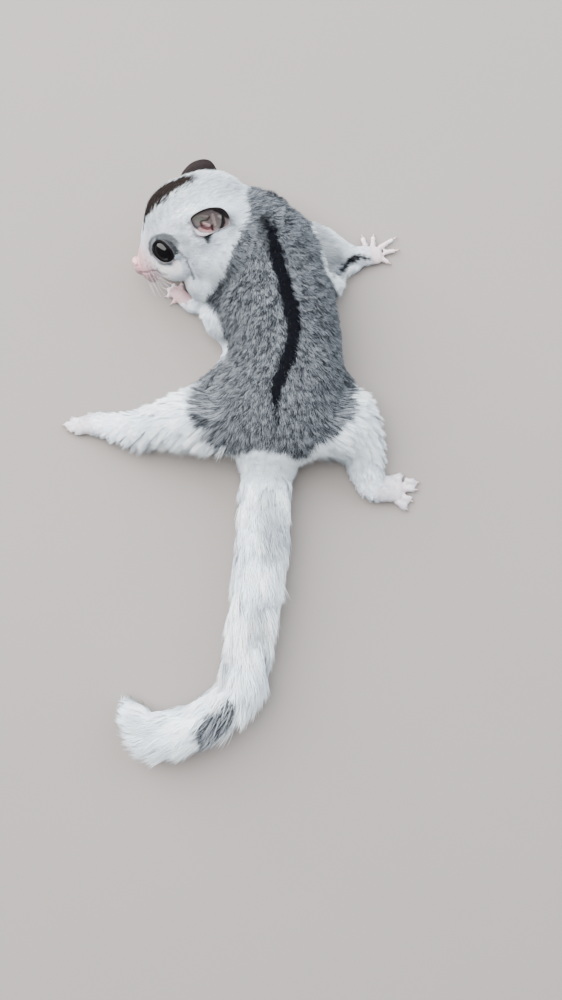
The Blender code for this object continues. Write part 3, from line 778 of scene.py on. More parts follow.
# Dark strokes on the head: how dark, how soft, and a stroke. They are the dark fur round the eye, painted shade
# between the eye and the ear and on the crown and forehead, a painted shadow beside the ear, short dark strokes at the
# mouth, and dots at the whiskers' roots.
HEAD_MARKS_AND_SHADE = (
    (0.55, 2.0, ((152.5, 238.5, 2.6), (150, 243, 3.0), (149.8, 249, 2.6), (151.5, 255, 1.6))),
    (0.56, 3.0, ((153, 238.5, 3), (158, 236.5, 4.5), (164, 237, 7), (170, 239, 8), (175, 244, 7))),
    (0.95, 2.0, ((157, 239.5, 3), (163, 240, 4), (169, 243, 5.5), (173.5, 247.5, 6), (175.6, 253, 5), (174, 259, 3))),
    (0.32, 1.6, ((173.4, 259, 2.4), (169.5, 263.5, 2.0), (164, 265, 1.8), (158, 262, 1.4))),
    (0.27, 2.0, ((155, 239.5, 4), (152.6, 244, 4.4), (152.8, 249, 3.6), (154, 254, 2.4))),
    # painted shade between the eye and the ear and on the crown and forehead, then a painted shadow beside the ear
    (0.14, 6.0, ((178, 236, 8), (186, 242, 8))),
    (0.13, 14.0, ((150, 222, 10), (160, 205, 22), (180, 192, 26), (205, 185, 26), (228, 192, 20))),
    (0.12, 8.0, ((176, 226, 10), (186, 226, 8))),
    (0.16, 9.0, ((231, 218, 7), (234, 230, 9), (232, 244, 8))),
    (0.45, 1.2, ((157.2, 269.2, 1.6), (158.6, 271.2, 1.6))),
    (0.25, 1.2, ((141.8, 272.4, 1.2), (141.9, 275, 1.2))),
    (0.22, 1.2, ((150, 276, 1.2), (156, 277, 1.2))),
    (0.25, 0.9, ((145.0, 260.0, 0.9), (145.8, 260.6, 0.9))),
    (0.25, 0.9, ((149.6, 262.2, 0.9), (150.4, 262.6, 0.9))),
    (0.25, 0.9, ((146.2, 266.2, 0.9), (147.0, 266.6, 0.9))),
    (0.25, 0.9, ((150.6, 267.0, 0.9), (151.4, 267.4, 0.9))),
    (0.25, 0.9, ((154.4, 265.4, 0.9), (155.0, 266.0, 0.9))),
)
# painted shade in the notch below the ear
EAR_NOTCH = ((208.4, 232, 6.5), (207.6, 236.5, 6), (208, 241.5, 4.5))
TAIL_DARK = ((203, 741, 18), (210, 729, 26), (220, 717, 26), (232, 708, 18))
TAIL_LIGHT = (
    ((266, 495, 14), (270, 515, 22), (272, 540, 24), (270, 556, 14)),
    ((258, 606, 12), (259, 622, 16), (256, 640, 12)),
    ((138, 724, 6), (144, 731, 8), (154, 735, 6)),
    ((230, 648, 4), (228, 668, 6), (222, 684, 5)),
)
HIP_FRINGE = ((197, 384, 5), (193, 400, 8), (194, 418, 8), (204, 436, 6))


@dataclass
class Markings:
    """How much of each colour the coat has at a place: grey, black, pink skin, and shade: dark marks such as the rings
    round the eyes, together with painted shade on the head, at the mouth, cheek and ear notch, and on the right arm.
    """

    grey: Array
    black: Array
    pink: Array
    shade: Array

    @staticmethod
    def at(points: Array, normals: Array, part: Array, wander: Array) -> "Markings":
        """Paint the markings, and painted shade, on places of the body.

        Args:
            points: the places.
            normals: the skin's normals there.
            part: number of the run that each place belongs to.
            wander: random shift of each place in the view, in pixels, which frays the edges.

        Returns:
            The strengths of the markings.
        """
        seen = seen_at(points) + wander
        upper = ramp(points[:, 2], 1.2, 2.8) * ramp(normals[:, 2], -0.8, -0.45)
        pale = (part == Part.SKIN_LEFT.value) * (1.0 - ramp(seen[:, 1], 340.0, 375.0))
        grey = patch(seen, GREY_BACK, 5.0) * upper * (1.0 - pale)
        black = stroke(seen, BACK_STRIPE, 5.0) * ramp(normals[:, 2], 0.1, 0.4)
        black = np.maximum(black, 0.58 * stroke(seen, STRIPE_END, 6.0) * upper)
        shade = 0.34 * stroke(seen, NAPE_SHADE, 12.0) * upper
        shade = np.maximum(shade, 0.2 * stroke(seen, HIP_FRINGE, 6.0) * upper)
        arm = np.isin(part, (Part.ARM_RIGHT.value, Part.SKIN_RIGHT.value, Part.HAND_RIGHT.value))
        black = np.maximum(black, 0.86 * stroke(seen - 0.3 * wander, ARM_STREAK, 5.0) * arm)
        shade = np.maximum(shade, 0.3 * stroke(seen, ARM_SHADE, 14.0) * arm)
        tail = (part == Part.TAIL.value) * ramp(normals[:, 2], -0.2, 0.3)
        patchy = stroke(seen, TAIL_DARK, 14.0) * 0.78
        for line in TAIL_LIGHT:
            shade = np.maximum(shade, 0.2 * stroke(seen, line, 14.0) * tail)
        grey = np.maximum(grey, patchy * tail)
        marks = Markings(grey, black, np.zeros(len(points)), shade)
        marks.paint_head(points, part, wander)
        marks.grey = np.clip(marks.grey, 0.0, 1.0)
        return marks

    def paint_head(self, points: Array, part: Array, wander: Array) -> None:
        """Add the forehead stripe, the eyes' dark rings, the pink muzzle, dark marks and painted shade on the head,
        and painted shade along the cheek and mouth lines and in the ear's notch.
        """
        head = part == Part.HEAD.value
        a, b, left = HEAD.local(points).T
        seen = seen_at(HEAD.place(a, b, np.abs(left))) + 0.25 * wander
        turn = np.degrees(np.arctan2(left, b + 2.0)) + 1.5 * wander[:, 0]
        half = np.interp(a, *STRIPE_HALF)
        strength = ramp(a, -9.0, -1.5) * (1.0 - ramp(a, 12.0, 14.5))
        stripe = (1.0 - ramp(np.abs(turn) - half, -5.0, 5.0)) * strength
        self.black = np.maximum(self.black * ~head, 0.97 * stripe * head * (b > 0))
        self.shade = self.shade * ~head
        for depth, soft, line in HEAD_MARKS_AND_SHADE:
            self.shade = np.maximum(self.shade, depth * stroke(seen, line, soft) * head)
        distance, gap = eye_gap(points)
        ring = (1.0 - ramp(gap, 0.14, 0.30)) * (distance < EYE_RADIUS + 2.0)
        depth = mixed(0.22, 0.62, ramp(254.0 - seen[:, 1], -8.0, 6.0))
        self.shade = np.maximum(self.shade, depth * ring * head)
        # painted shade along the cheek's crease, the mouth's slit and the ear's notch
        line = np.maximum(0.45 * stroke(seen, CHEEK_LINE, 1.8), 0.4 * stroke(seen, MOUTH_LINE, 1.8))
        line = np.maximum(line, 0.9 * stroke(seen, EAR_NOTCH, 2.0))
        self.shade = np.maximum(self.shade, line * head)
        tip = np.linalg.norm(np.column_stack([a - 15.5, 0.85 * (b + 8.4), left]), axis=1)
        muzzle = 1.0 - ramp(tip, 3.6, 10.6)
        hands = np.isin(part, (Part.HAND_LEFT.value, Part.HAND_RIGHT.value))
        feet = np.isin(part, (Part.FOOT_LEFT.value, Part.FOOT_RIGHT.value))
        right = part == Part.HAND_RIGHT.value
        self.pink = np.maximum.reduce([muzzle * head, (0.85 - 0.4 * right) * hands, 0.3 * feet])


WHITE_HAIR = np.array((0.79, 0.865, 0.95))
# painted shade: the white tufts' roots are darker than their tips, for the shade between the tufts
WHITE_ROOT_SHADED = np.array((0.40, 0.46, 0.54))
GREY_HAIR = np.array((0.053, 0.059, 0.068))
GREY_LIGHT = np.array((0.265, 0.29, 0.32))
GREY_DARK = np.array((0.018, 0.02, 0.024))
BLACK_HAIR = np.array((0.005, 0.0055, 0.008))
BROWN_HAIR = np.array((0.016, 0.012, 0.011))
PINK_HAIR = np.array((0.41, 0.27, 0.325))
PINK_SKIN = np.array((0.46, 0.27, 0.285))
WHITE_SKIN = np.array((0.62, 0.60, 0.62))
SHADE_DENSITY = 3.2
GREY_SKIN = np.array((0.075, 0.075, 0.08))


def skin_tones(marks: Markings) -> Array:
    """The skin's colour under the coat: white to grey to black, and pink where it is bare."""
    tone = mixed(WHITE_SKIN, GREY_SKIN, marks.grey[:, None])
    tone = mixed(tone, PINK_SKIN, marks.pink[:, None])
    tone = tone * np.exp(-SHADE_DENSITY * marks.shade)[:, None]
    return mixed(tone, BLACK_HAIR, marks.black[:, None])


def coat_tones(marks: Markings, pick: Array, clump: Array, drift: Array, head: Array) -> tuple[Array, Array]:
    """Colour of each tuft at its root and at its tip.

    Args:
        marks: the markings where the tufts stand.
        pick: a random number from 0 to 1 for each tuft.
        clump: a random number from 0 to 1 that a clump's tufts share.
        drift: slow change of lightness over the body, from -1 to 1.
        head: 1 for tufts on the head, whose dark markings are browner.

    Returns:
        Root colours and tip colours: a grey tuft is dark, middling or pale at random. The roots are darker than the
            tips: painted shade for the gaps between the tufts.
    """
    again = (pick * 7.31) % 1.0
    lightness = (0.80 + 0.32 * clump + 0.2 * (again - 0.5) + 0.22 * np.minimum(drift, 0.3))[:, None]
    root, tip = WHITE_ROOT_SHADED * lightness, np.clip(WHITE_HAIR * lightness, 0.0, 0.95)
    share = np.clip(1.4 * pick - 0.28 + 0.8 * (clump - 0.5), 0.0, 1.0)[:, None]
    grey_tip = np.where(
        share < 0.5, mixed(GREY_DARK, GREY_HAIR, 2 * share), mixed(GREY_HAIR, GREY_LIGHT, 2 * share - 1)
    )
    spread = 4.0 * marks.grey * (1.0 - marks.grey)
    grey = ramp(marks.grey + 0.6 * (again - 0.5) * spread, 0.3, 0.7)[:, None]
    root = mixed(root, mixed(GREY_DARK, grey_tip, 0.35), grey)
    tip = mixed(tip, grey_tip, grey)
    dark = mixed(BLACK_HAIR, BROWN_HAIR, head[:, None])
    shade = np.clip(marks.shade * (0.75 + 0.5 * pick), 0.0, 1.0)[:, None]
    root, tip = root * np.exp(-SHADE_DENSITY * shade), tip * np.exp(-SHADE_DENSITY * shade)
    pink = marks.pink[:, None]
    root, tip = mixed(root, PINK_SKIN, pink), mixed(tip, PINK_HAIR, pink)
    black = ramp(marks.black + 0.4 * (again - 0.5) * (marks.black < 0.85), 0.3, 0.7)[:, None]
    return mixed(root, 0.6 * dark, black), mixed(tip, dark * (0.8 + 0.6 * pick[:, None]), black)


# ---- finishes ----


def node_group(name: str, inputs: dict, outputs: dict) -> tuple[bpy.types.NodeTree, bpy.types.Node, bpy.types.Node]:
    """A new shader group with named sockets, and its input and output nodes."""
    group = bpy.data.node_groups.new(name, "ShaderNodeTree")
    for direction, sockets in (("INPUT", inputs), ("OUTPUT", outputs)):
        for label, kind in sockets.items():
            group.interface.new_socket(name=label, in_out=direction, socket_type=kind)
    return group, group.nodes.new("NodeGroupInput"), group.nodes.new("NodeGroupOutput")


def mottle_group() -> bpy.types.NodeTree:
    """Fine mottling: a colour darkened and lightened by noise, and that noise as a height."""
    group, source, target = node_group(
        "fine_mottle",
        {"Colour": "NodeSocketColor", "Scale": "NodeSocketFloat", "Amount": "NodeSocketFloat"},
        {"Colour": "NodeSocketColor", "Height": "NodeSocketFloat"},
    )
    place = group.nodes.new("ShaderNodeTexCoord")
    grain = group.nodes.new("ShaderNodeTexNoise")
    grain.inputs["Detail"].default_value = 4.0
    grain.inputs["Roughness"].default_value = 0.6
    spread = group.nodes.new("ShaderNodeMapRange")
    spread.inputs["From Min"].default_value = 0.25
    spread.inputs["From Max"].default_value = 0.75
    spread.inputs["To Min"].default_value = -1.0
    gain = group.nodes.new("ShaderNodeMath")
    gain.operation = "MULTIPLY_ADD"
    gain.inputs[2].default_value = 1.0
    scaled = group.nodes.new("ShaderNodeVectorMath")
    scaled.operation = "SCALE"
    link = group.links.new
    link(place.outputs["Object"], grain.inputs["Vector"])
    link(source.outputs["Scale"], grain.inputs["Scale"])
    link(grain.outputs["Fac"], spread.inputs["Value"])
    link(spread.outputs["Result"], gain.inputs[0])
    link(source.outputs["Amount"], gain.inputs[1])
    link(source.outputs["Colour"], scaled.inputs[0])
    link(gain.outputs["Value"], scaled.inputs["Scale"])
    link(scaled.outputs["Vector"], target.inputs["Colour"])
    link(grain.outputs["Fac"], target.inputs["Height"])
    return group


MOTTLE = mottle_group()


@dataclass(frozen=True)
class Finish:
    """What a piece wears: its colour, mottled, over a Principled shader with a fine bump.

    Attributes:
        name: the material's name.
        colour: colour where the piece has no tones of its own.
        painted: whether the colour comes from the attribute "tone".
        grain: how many mottles to a metre.
        mottle: how strong they are.
        bump: height of the grain in metres.
        roughness: from mirror 0 to matt 1.
        coat: weight of a clear wet layer.
        sheen: weight of the soft light on fine fuzz.
        scatter: weight of light that passes through.
        radius: how far it passes, in metres.
    """

    name: str
    colour: tuple[float, float, float] = (0.8, 0.8, 0.8)
    painted: bool = True
    grain: float = 900.0
    mottle: float = 0.12
    bump: float = 0.0
    roughness: float = 0.7
    specular: float = 0.4
    coat: float = 0.0
    sheen: float = 0.0
    scatter: float = 0.0
    radius: float = 0.0008

    def material(self) -> bpy.types.Material:
        """The Blender material of this finish."""
        material = bpy.data.materials.new(self.name)
        material.use_nodes = True
        nodes, link = material.node_tree.nodes, material.node_tree.links.new
        shader = nodes["Principled BSDF"]
        shader.inputs["Roughness"].default_value = self.roughness
        shader.inputs["Specular IOR Level"].default_value = self.specular
        shader.inputs["Coat Weight"].default_value = self.coat
        shader.inputs["Coat Roughness"].default_value = 0.03
        shader.inputs["Sheen Weight"].default_value = self.sheen
        shader.inputs["Sheen Roughness"].default_value = 0.5
        shader.inputs["Subsurface Weight"].default_value = self.scatter
        shader.inputs["Subsurface Radius"].default_value = (1.0, 0.5, 0.4)
        shader.inputs["Subsurface Scale"].default_value = self.radius
        grain = nodes.new("ShaderNodeGroup")
        grain.node_tree = MOTTLE
        grain.inputs["Scale"].default_value = self.grain
        grain.inputs["Amount"].default_value = self.mottle
        grain.inputs["Colour"].default_value = (*self.colour, 1.0)
        if self.painted:
            tone = nodes.new("ShaderNodeAttribute")
            tone.attribute_name = "tone"
            link(tone.outputs["Color"], grain.inputs["Colour"])
        link(grain.outputs["Colour"], shader.inputs["Base Color"])
        if self.bump > 0.0:
            relief = nodes.new("ShaderNodeBump")
            relief.inputs["Distance"].default_value = self.bump
            link(grain.outputs["Height"], relief.inputs["Height"])
            link(relief.outputs["Normal"], shader.inputs["Normal"])
        return material


SKIN_FINISH = Finish("bare_skin", grain=1400.0, mottle=0.14, bump=0.0001, roughness=0.55, scatter=0.25)
COAT_FINISH = Finish("soft_coat", grain=2600.0, mottle=0.10, roughness=0.9, specular=0.04)
EAR_FINISH = Finish("ear_skin", grain=1100.0, mottle=0.2, bump=0.00008, roughness=0.75, specular=0.08, scatter=0.05)
NOSE_FINISH = Finish("nose_pad", grain=5200.0, mottle=0.1, bump=0.00006, roughness=0.35, scatter=0.3, coat=0.25)
EYE_FINISH = Finish("eye_dark", grain=700.0, mottle=0.3, roughness=0.06, specular=0.2)
LID_FINISH = Finish("lid_skin", grain=3800.0, mottle=0.2, bump=0.00005, roughness=0.7, specular=0.03)
CLAW_FINISH = Finish("claw_horn", grain=2500.0, mottle=0.15, roughness=0.35, scatter=0.2)
WHISKER_FINISH = Finish("whisker_hair", grain=800.0, mottle=0.1, roughness=0.45)
FLOOR_FINISH = Finish("pale_floor", (0.21, 0.192, 0.182), False, grain=30.0, mottle=0.015, roughness=0.9, specular=0.1)


# ---- skin ----


@dataclass
class Skin:
    """One skin for the whole animal, with what the coat needs to know at each of its points.

    Attributes:
        voxel: grid size of the surface that joins the runs.
        triangles: how many triangles it is thinned to.
    """

    voxel: float = 0.32
    triangles: int = 186000
    tracks: list[Track] = field(default_factory=body_tracks)
    points: Array = field(default=None)
    faces: Array = field(default=None)
    normals: Array = field(default=None)
    part: Array = field(default=None)
    along: Array = field(default=None)
    angle: Array = field(default=None)
    lie: Array = field(default=None)

    def runs_joined(self) -> tuple[Array, Array]:
        """All runs and digits inside the outline by the coat's depth, overlapping one another."""
        shapes = [track.shape() for track in self.tracks]
        for sign in (1.0, -1.0):
            polar = np.linspace(0.1, math.pi - 0.1, 20)[:, None]
            turn = np.linspace(0.0, 2 * math.pi, 32, endpoint=False)[None, :]
            ball = (EYE_RADIUS + 0.1) * np.stack(
                [np.cos(polar) * np.ones_like(turn), np.sin(polar) * np.cos(turn), np.sin(polar) * np.sin(turn)],
                axis=-1,
            )
            points, triangles = closed_tube(HEAD.place(*(EYE_CENTRE * np.array((1, 1, sign)))) + ball)
            shapes.append((points, outward(points, triangles)))
        for centre, half in FILLS:
            points, triangles = closed_tube(np.array(centre) + ball / (EYE_RADIUS + 0.1) * np.array(half))
            shapes.append((points, outward(points, triangles)))
        for part, digits in DIGITS.items():
            toes = part in (Part.FOOT_LEFT, Part.FOOT_RIGHT)
            radius = TOE_RADIUS if toes else FINGER_RADIUS
            for knuckle, tip in digits:
                path = smooth_path(digit_path(part, knuckle, tip), 0.35)
                t = np.linspace(0.0, 1.0, len(path))
                pad = 1.32 - 0.34 * np.sin(math.pi * np.clip(t * 1.05, 0.0, 1.0)) ** 0.8
                pad = np.where(t > 0.9, pad * np.sqrt(np.maximum(1 - ((t - 0.9) / 0.12) ** 2, 0.05)), pad)
                shapes.append(bent_tube(path, radius * pad, 14))
        return combined(shapes)

    def fine(self, points: Array) -> Array:
        """1 near the digits, less on the face, 0 on the body: where detail is kept."""
        keep = np.zeros(len(points))
        for part in DIGITS:
            centre = np.array(BODY_STATIONS[part][1][:3])
            reach = np.linalg.norm(points[:, :2] - centre[:2], axis=1)
            keep = np.maximum(keep, 1.0 - ramp(reach, 6.0, 9.0))
        along = HEAD.local(points)[:, 0]
        near = np.linalg.norm(points - HEAD_CENTRE, axis=1) < 24.0
        return np.maximum(keep, 0.6 * ramp(along, 3.0, 6.0) * near)

    def relaxed(self, points: Array, edges: Array, rounds: int, share: Array) -> Array:
        """Move each point part of the way to the mean of its neighbours, several times.

        Args:
            points: the surface's points.
            edges: pairs of neighbours.
            rounds: how many times.
            share: how far each point moves, from 0 to 1.

        Returns:
            The moved points.
        """
        first = np.concatenate([edges[:, 0], edges[:, 1]])
        second = np.concatenate([edges[:, 1], edges[:, 0]])
        count = np.maximum(np.bincount(first, minlength=len(points)), 1)
        for _ in range(rounds):
            mean = np.column_stack(
                [np.bincount(first, points[second, k], len(points)) / count for k in range(points.shape[1])]
            )
            points = points + share[:, None] * (mean - points)
        return points

    def join(self) -> None:
        """Join the runs into one surface, smooth it and thin it out."""
        rough = bpy.data.objects.new("rough", plain_mesh("rough", *self.runs_joined()))
        bpy.context.scene.collection.objects.link(rough)
        remesh = rough.modifiers.new("join", "REMESH")
        remesh.mode = "VOXEL"
        remesh.voxel_size = self.voxel
        mesh = self.evaluated(rough)
        points = rows_of(mesh.vertices, "co", 3).astype(float)
        edges = rows_of(mesh.edges, "vertices", 2)
        keep = self.fine(points)
        points = self.relaxed(points, edges, 34, 0.5 * (1.0 - keep) ** 1.5)
        face = ramp(HEAD.local(points)[:, 0], -1.0, 3.0) * (np.linalg.norm(points - HEAD_CENTRE, axis=1) < 24.0)
        broad = ramp(points[:, 2], 4.0, 8.0) * (1.0 - face) * (1.0 - ramp(points[:, 1], 40.0, 48.0))
        points = self.relaxed(points, edges, 110, 0.5 * broad)
        points = self.relaxed(points, edges, 5, np.full(len(points), 0.4))
        points[:, 2] = np.maximum(points[:, 2], FLOOR_CLEARANCE)
        mesh.vertices.foreach_set("co", points.astype(np.float32).ravel())
        rough.modifiers.clear()
        rough.data = mesh
        group = rough.vertex_groups.new(name="thin")
        for level in range(11):
            chosen = np.flatnonzero(np.round(keep * 10).astype(int) == level)
            if len(chosen):
                group.add(chosen.tolist(), 1.0 - 0.09 * level, "REPLACE")
        quads = len(mesh.polygons)
        thin = rough.modifiers.new("thin", "DECIMATE")
        thin.ratio = min(1.0, self.triangles / (2 * quads))
        thin.vertex_group = "thin"
        thin.vertex_group_factor = 1.0
        mesh = self.evaluated(rough)
        mesh.calc_loop_triangles()
        self.points = rows_of(mesh.vertices, "co", 3).astype(float)
        self.faces = rows_of(mesh.loop_triangles, "vertices", 3).astype(np.int64)
        bpy.data.objects.remove(rough, do_unlink=True)
        log.info("skin surface: %d quads thinned to %d triangles", quads, len(self.faces))

    @staticmethod
    def evaluated(obj: bpy.types.Object) -> bpy.types.Mesh:
        """The mesh that an object's modifiers make."""
        graph = bpy.context.evaluated_depsgraph_get()
        return bpy.data.meshes.new_from_object(obj.evaluated_get(graph))

    def measure(self) -> None:
        """Find each point's run, its place along and round it, and the way the coat lies there."""
        centres = np.vstack([track.centres for track in self.tracks])
        radii = np.concatenate([(track.widths + track.heights) / 2 * track.claim() for track in self.tracks])
        number = np.concatenate([np.full(len(t.centres), k) for k, t in enumerate(self.tracks)])
        near = np.empty(len(self.points), int)
        for start in range(0, len(self.points), 20000):
            block = self.points[start : start + 20000]
            squares = (block**2).sum(1)[:, None] - 2 * block @ centres.T + (centres**2).sum(1)
            near[start : start + 20000] = (np.maximum(squares, 0) / radii**2).argmin(1)
        run = number[near]
        self.part = np.array([track.part.value for track in self.tracks])[run]
        self.normals = surface_normals(self.points, self.faces)
        self.along, self.angle = np.zeros(len(self.points)), np.zeros(len(self.points))
        for k, track in enumerate(self.tracks):
            chosen = run == k
            self.along[chosen], self.angle[chosen] = track.locate(self.points[chosen])
        lie = np.vstack([track.tangent for track in self.tracks])[near]
        neck = self.part == Part.NECK.value
        lie[neck] = unit(lie[neck] + np.array((0.0, 0.55, 0.0)))
        outward_level = self.normals * np.array((1.0, 1.0, 0.0))
        trunk = self.part == Part.TRUNK.value
        lie[trunk] = lie[trunk] + 0.28 * outward_level[trunk] + np.array((0.0, 0.0, -0.18))
        leg = np.isin(self.part, (Part.THIGH_LEFT.value, Part.THIGH_RIGHT.value))
        trailing = leg * ramp(self.normals[:, 1], -0.2, 0.6)
        lie += (0.9 * trailing)[:, None] * np.array((0.0, 1.0, 0.0))
        edges = np.vstack([self.faces[:, (0, 1)], self.faces[:, (1, 2)], self.faces[:, (2, 0)]])
        share = np.full(len(self.points), 0.5)
        lie = self.relaxed(lie, edges, 24, share)
        lie -= np.einsum("ij,ij->i", lie, self.normals)[:, None] * self.normals
        self.lie = unit(lie)
        self.edges = edges

    def sculpt(self) -> None:
        """Raise the lids round the eyes, hollow the ears' feet, and press the mouth and cheek lines."""
        head = self.part == Part.HEAD.value
        for sign in (1.0, -1.0):
            centre = HEAD.place(*(EYE_CENTRE * np.array((1, 1, sign))))
            step = self.points - centre
            distance = np.linalg.norm(step, axis=1)
            gap = eye_gap(self.points)[1]
            near = head & (distance < EYE_RADIUS + 2.5) & (gap < 1.2)
            inside = 1.0 - ramp(gap, -0.14, 0.04)
            rolled = np.maximum(distance, EYE_RADIUS + 0.1) + 0.22 * np.exp(-(((gap - 0.12) / 0.13) ** 2))
            wanted = mixed(rolled, EYE_RADIUS - 0.7, inside)
            self.points[near] = (centre + step * (wanted / distance)[:, None])[near]
        for sign in (1.0, -1.0):
            wide, turn, height = ear_places(self.points, sign)
            foot, _, rim = ear_wall(turn)
            low = 1.0 - ramp(wide, np.maximum(1.1 * foot, 0.9 * rim - 0.15), rim + 0.25)
            sink = 2.4 * low * (np.abs(height) < 5.0)
            self.points -= sink[:, None] * ear_frame(sign)[3]
        seen = seen_at(self.points)
        near = (self.part == Part.HEAD.value) & (self.normals[:, 2] > -0.1)
        groove = 0.25 * stroke(seen, MOUTH_LINE, 2.5) + 0.12 * stroke(seen, CHEEK_LINE, 3.5)
        self.points -= (groove * near)[:, None] * self.normals
        self.normals = surface_normals(self.points, self.faces)

    def map_places(self) -> Array:
        """The skin's own unwrap: each run a column of the map, along it upwards, round it across.

        Returns:
            One place per triangle corner; a triangle uses the run of its first point.
        """
        girth = np.array([(t.widths + t.heights).mean() for t in self.tracks])
        right = np.cumsum(girth) / girth.sum()
        run_of = {track.part.value: k for k, track in enumerate(self.tracks)}
        face_run = np.array([run_of[k] for k in range(len(Part))])[self.part[self.faces[:, 0]]]
        places = np.zeros((len(self.faces), 3, 2))
        for k, track in enumerate(self.tracks):
            chosen = np.flatnonzero(face_run == k)
            along, angle = track.locate(self.points[self.faces[chosen]].reshape(-1, 3))
            angle = angle.reshape(-1, 3)
            angle = angle[:, :1] + (angle - angle[:, :1] + math.pi) % (2 * math.pi) - math.pi
            width = girth[k] / girth.sum()
            places[chosen, :, 0] = right[k] - width * (0.5 - 0.46 * angle / math.pi)
            places[chosen, :, 1] = 0.01 + 0.98 * along.reshape(-1, 3)
        return places.reshape(-1, 2)

    def build(self) -> bpy.types.Object:
        """Make the skin and put it in place of the flesh."""
        self.join()
        self.measure()
        self.sculpt()
        wander = 2.0 * np.column_stack([noise(self.points, 1.4, 5), noise(self.points, 1.4, 6)])
        marks = Markings.at(self.points, self.normals, self.part, wander)
        skin = place_piece(
            "skin", self.points, self.faces, SKIN_FINISH.material(), skin_tones(marks), None, self.map_places()
        )
        flesh = [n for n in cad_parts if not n.startswith(("eye", "ear", "nose"))]
        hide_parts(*flesh)
        return skin


def eye_edge(turn: Array) -> Array:
    """Angle from the eye's axis to its lid, round the axis: an oval, longest at the tilt."""
    return EYE_OPENING + EYE_SLANT * np.cos(2 * (turn + EYE_TILT))


def eye_gap(points: Array) -> tuple[Array, Array]:
    """Where points are seen from the nearer eye.

    Args:
        points: places on either side of the head.

    Returns:
        Distance from the eye's centre, and the angle by which each point lies outside its lid.
    """
    a, b, left = HEAD.local(points).T
    step = np.column_stack([a, b, np.abs(left)]) - np.array(EYE_CENTRE)
    axis = unit(np.array(EYE_AXIS))
    fore = unit(np.array((1.0, 0.0, 0.0)) - axis * axis[0])
    distance = np.linalg.norm(step, axis=1)
    off = np.arccos(np.clip(step @ axis / distance, -1.0, 1.0))
    return distance, off - eye_edge(np.arctan2(step @ np.cross(fore, axis), step @ fore))


def ear_wall(turn: Array) -> tuple[Array, Array, Array]:
    """The ear's outline at angles round its stem.

    Args:
        turn: angles; the open side lies opposite the middle of the rim.

    Returns:
        Radius of the foot, height of the rim and radius of the rim, the radii against the
        ear's size: the rim falls as a power of (1 - angle squared) and flares where it is high.
    """
    across = np.abs((turn + EAR_TURN + math.pi) % (2 * math.pi) - math.pi) / EAR_SPAN
    foot = EAR_FOOT * (1.0 - 0.5 * ramp(across, 0.8, 1.3))
    fall = np.maximum(1.0 - (EAR_RIM_ENDS * np.minimum(across, 1.05)) ** 2, 0.0) ** EAR_RIM_FALL
    top = np.maximum(EAR_HEIGHT * fall - EAR_SUNK, EAR_FLOOR + EAR_LIP)
    flare = 0.15 + 0.85 * ramp(top - EAR_FLOOR, 0.0, 3.5)
    return foot, top, foot + (1.0 - foot) * flare


def ear_places(points: Array, sign: float) -> tuple[Array, Array, Array]:
    """Places measured from one ear's base: radius against the ear's size, angle and height."""
    base, fore, back, stem = ear_frame(sign)
    step = points - base
    x, y = step @ fore / EAR_WIDTH, step @ back / EAR_DEPTH
    y = np.where(y < 0, y / EAR_OPEN_SIDE, y)
    return np.hypot(x, y), np.arctan2(x, y), step @ stem


def ear_frame(sign: float) -> tuple[Array, Array, Array, Array]:
    """Base, fore axis, back axis and stem of the ear on one side of the head."""
    base = HEAD.place(EAR_BASE[0], EAR_BASE[1], sign * EAR_BASE[2])
    stem = HEAD.direction(EAR_AXIS[0], EAR_AXIS[1], sign * EAR_AXIS[2])
    fore = unit(HEAD.forward - stem * (HEAD.forward @ stem))
    back = np.cross(fore, stem) * sign
    return base + EAR_SHIFT[0] * fore + EAR_SHIFT[1] * back, fore, back, stem


# ---- coat ----


@dataclass(frozen=True)
class CoatPiece:
    """One piece of the coat: the runs that it covers, how much of their length, and its tufts."""

    name: str
    parts: tuple[Part, ...]
    tufts: int
    start: float = 0.0
    end: float = 1.0
    bent: bool = False
    slot: str = "fur_white"


COAT_PIECES = (
    CoatPiece("coat_head", (Part.HEAD,), 42000),
    CoatPiece("coat_neck", (Part.NECK,), 27000, slot="fur_grey"),
    CoatPiece("coat_shoulders", (Part.TRUNK,), 43000, 0.0, 0.38, slot="fur_grey"),
    CoatPiece("coat_back", (Part.TRUNK,), 45000, 0.38, 0.66, slot="fur_grey"),
    CoatPiece("coat_rump", (Part.TRUNK,), 43000, 0.66, 1.0, slot="fur_grey"),
    CoatPiece("coat_tail_root", (Part.TAIL,), 16500, 0.0, 0.5, bent=True),
    CoatPiece("coat_tail_end", (Part.TAIL,), 16500, 0.5, 1.0, bent=True),
    CoatPiece("coat_leg_left", (Part.THIGH_LEFT, Part.FOOT_LEFT), 27000),
    CoatPiece("coat_leg_right", (Part.THIGH_RIGHT, Part.FOOT_RIGHT), 25000),
    CoatPiece("coat_side_left", (Part.ARM_LEFT, Part.HAND_LEFT, Part.SKIN_LEFT), 16500),
    CoatPiece("coat_side_right", (Part.ARM_RIGHT, Part.HAND_RIGHT, Part.SKIN_RIGHT), 18000),
)


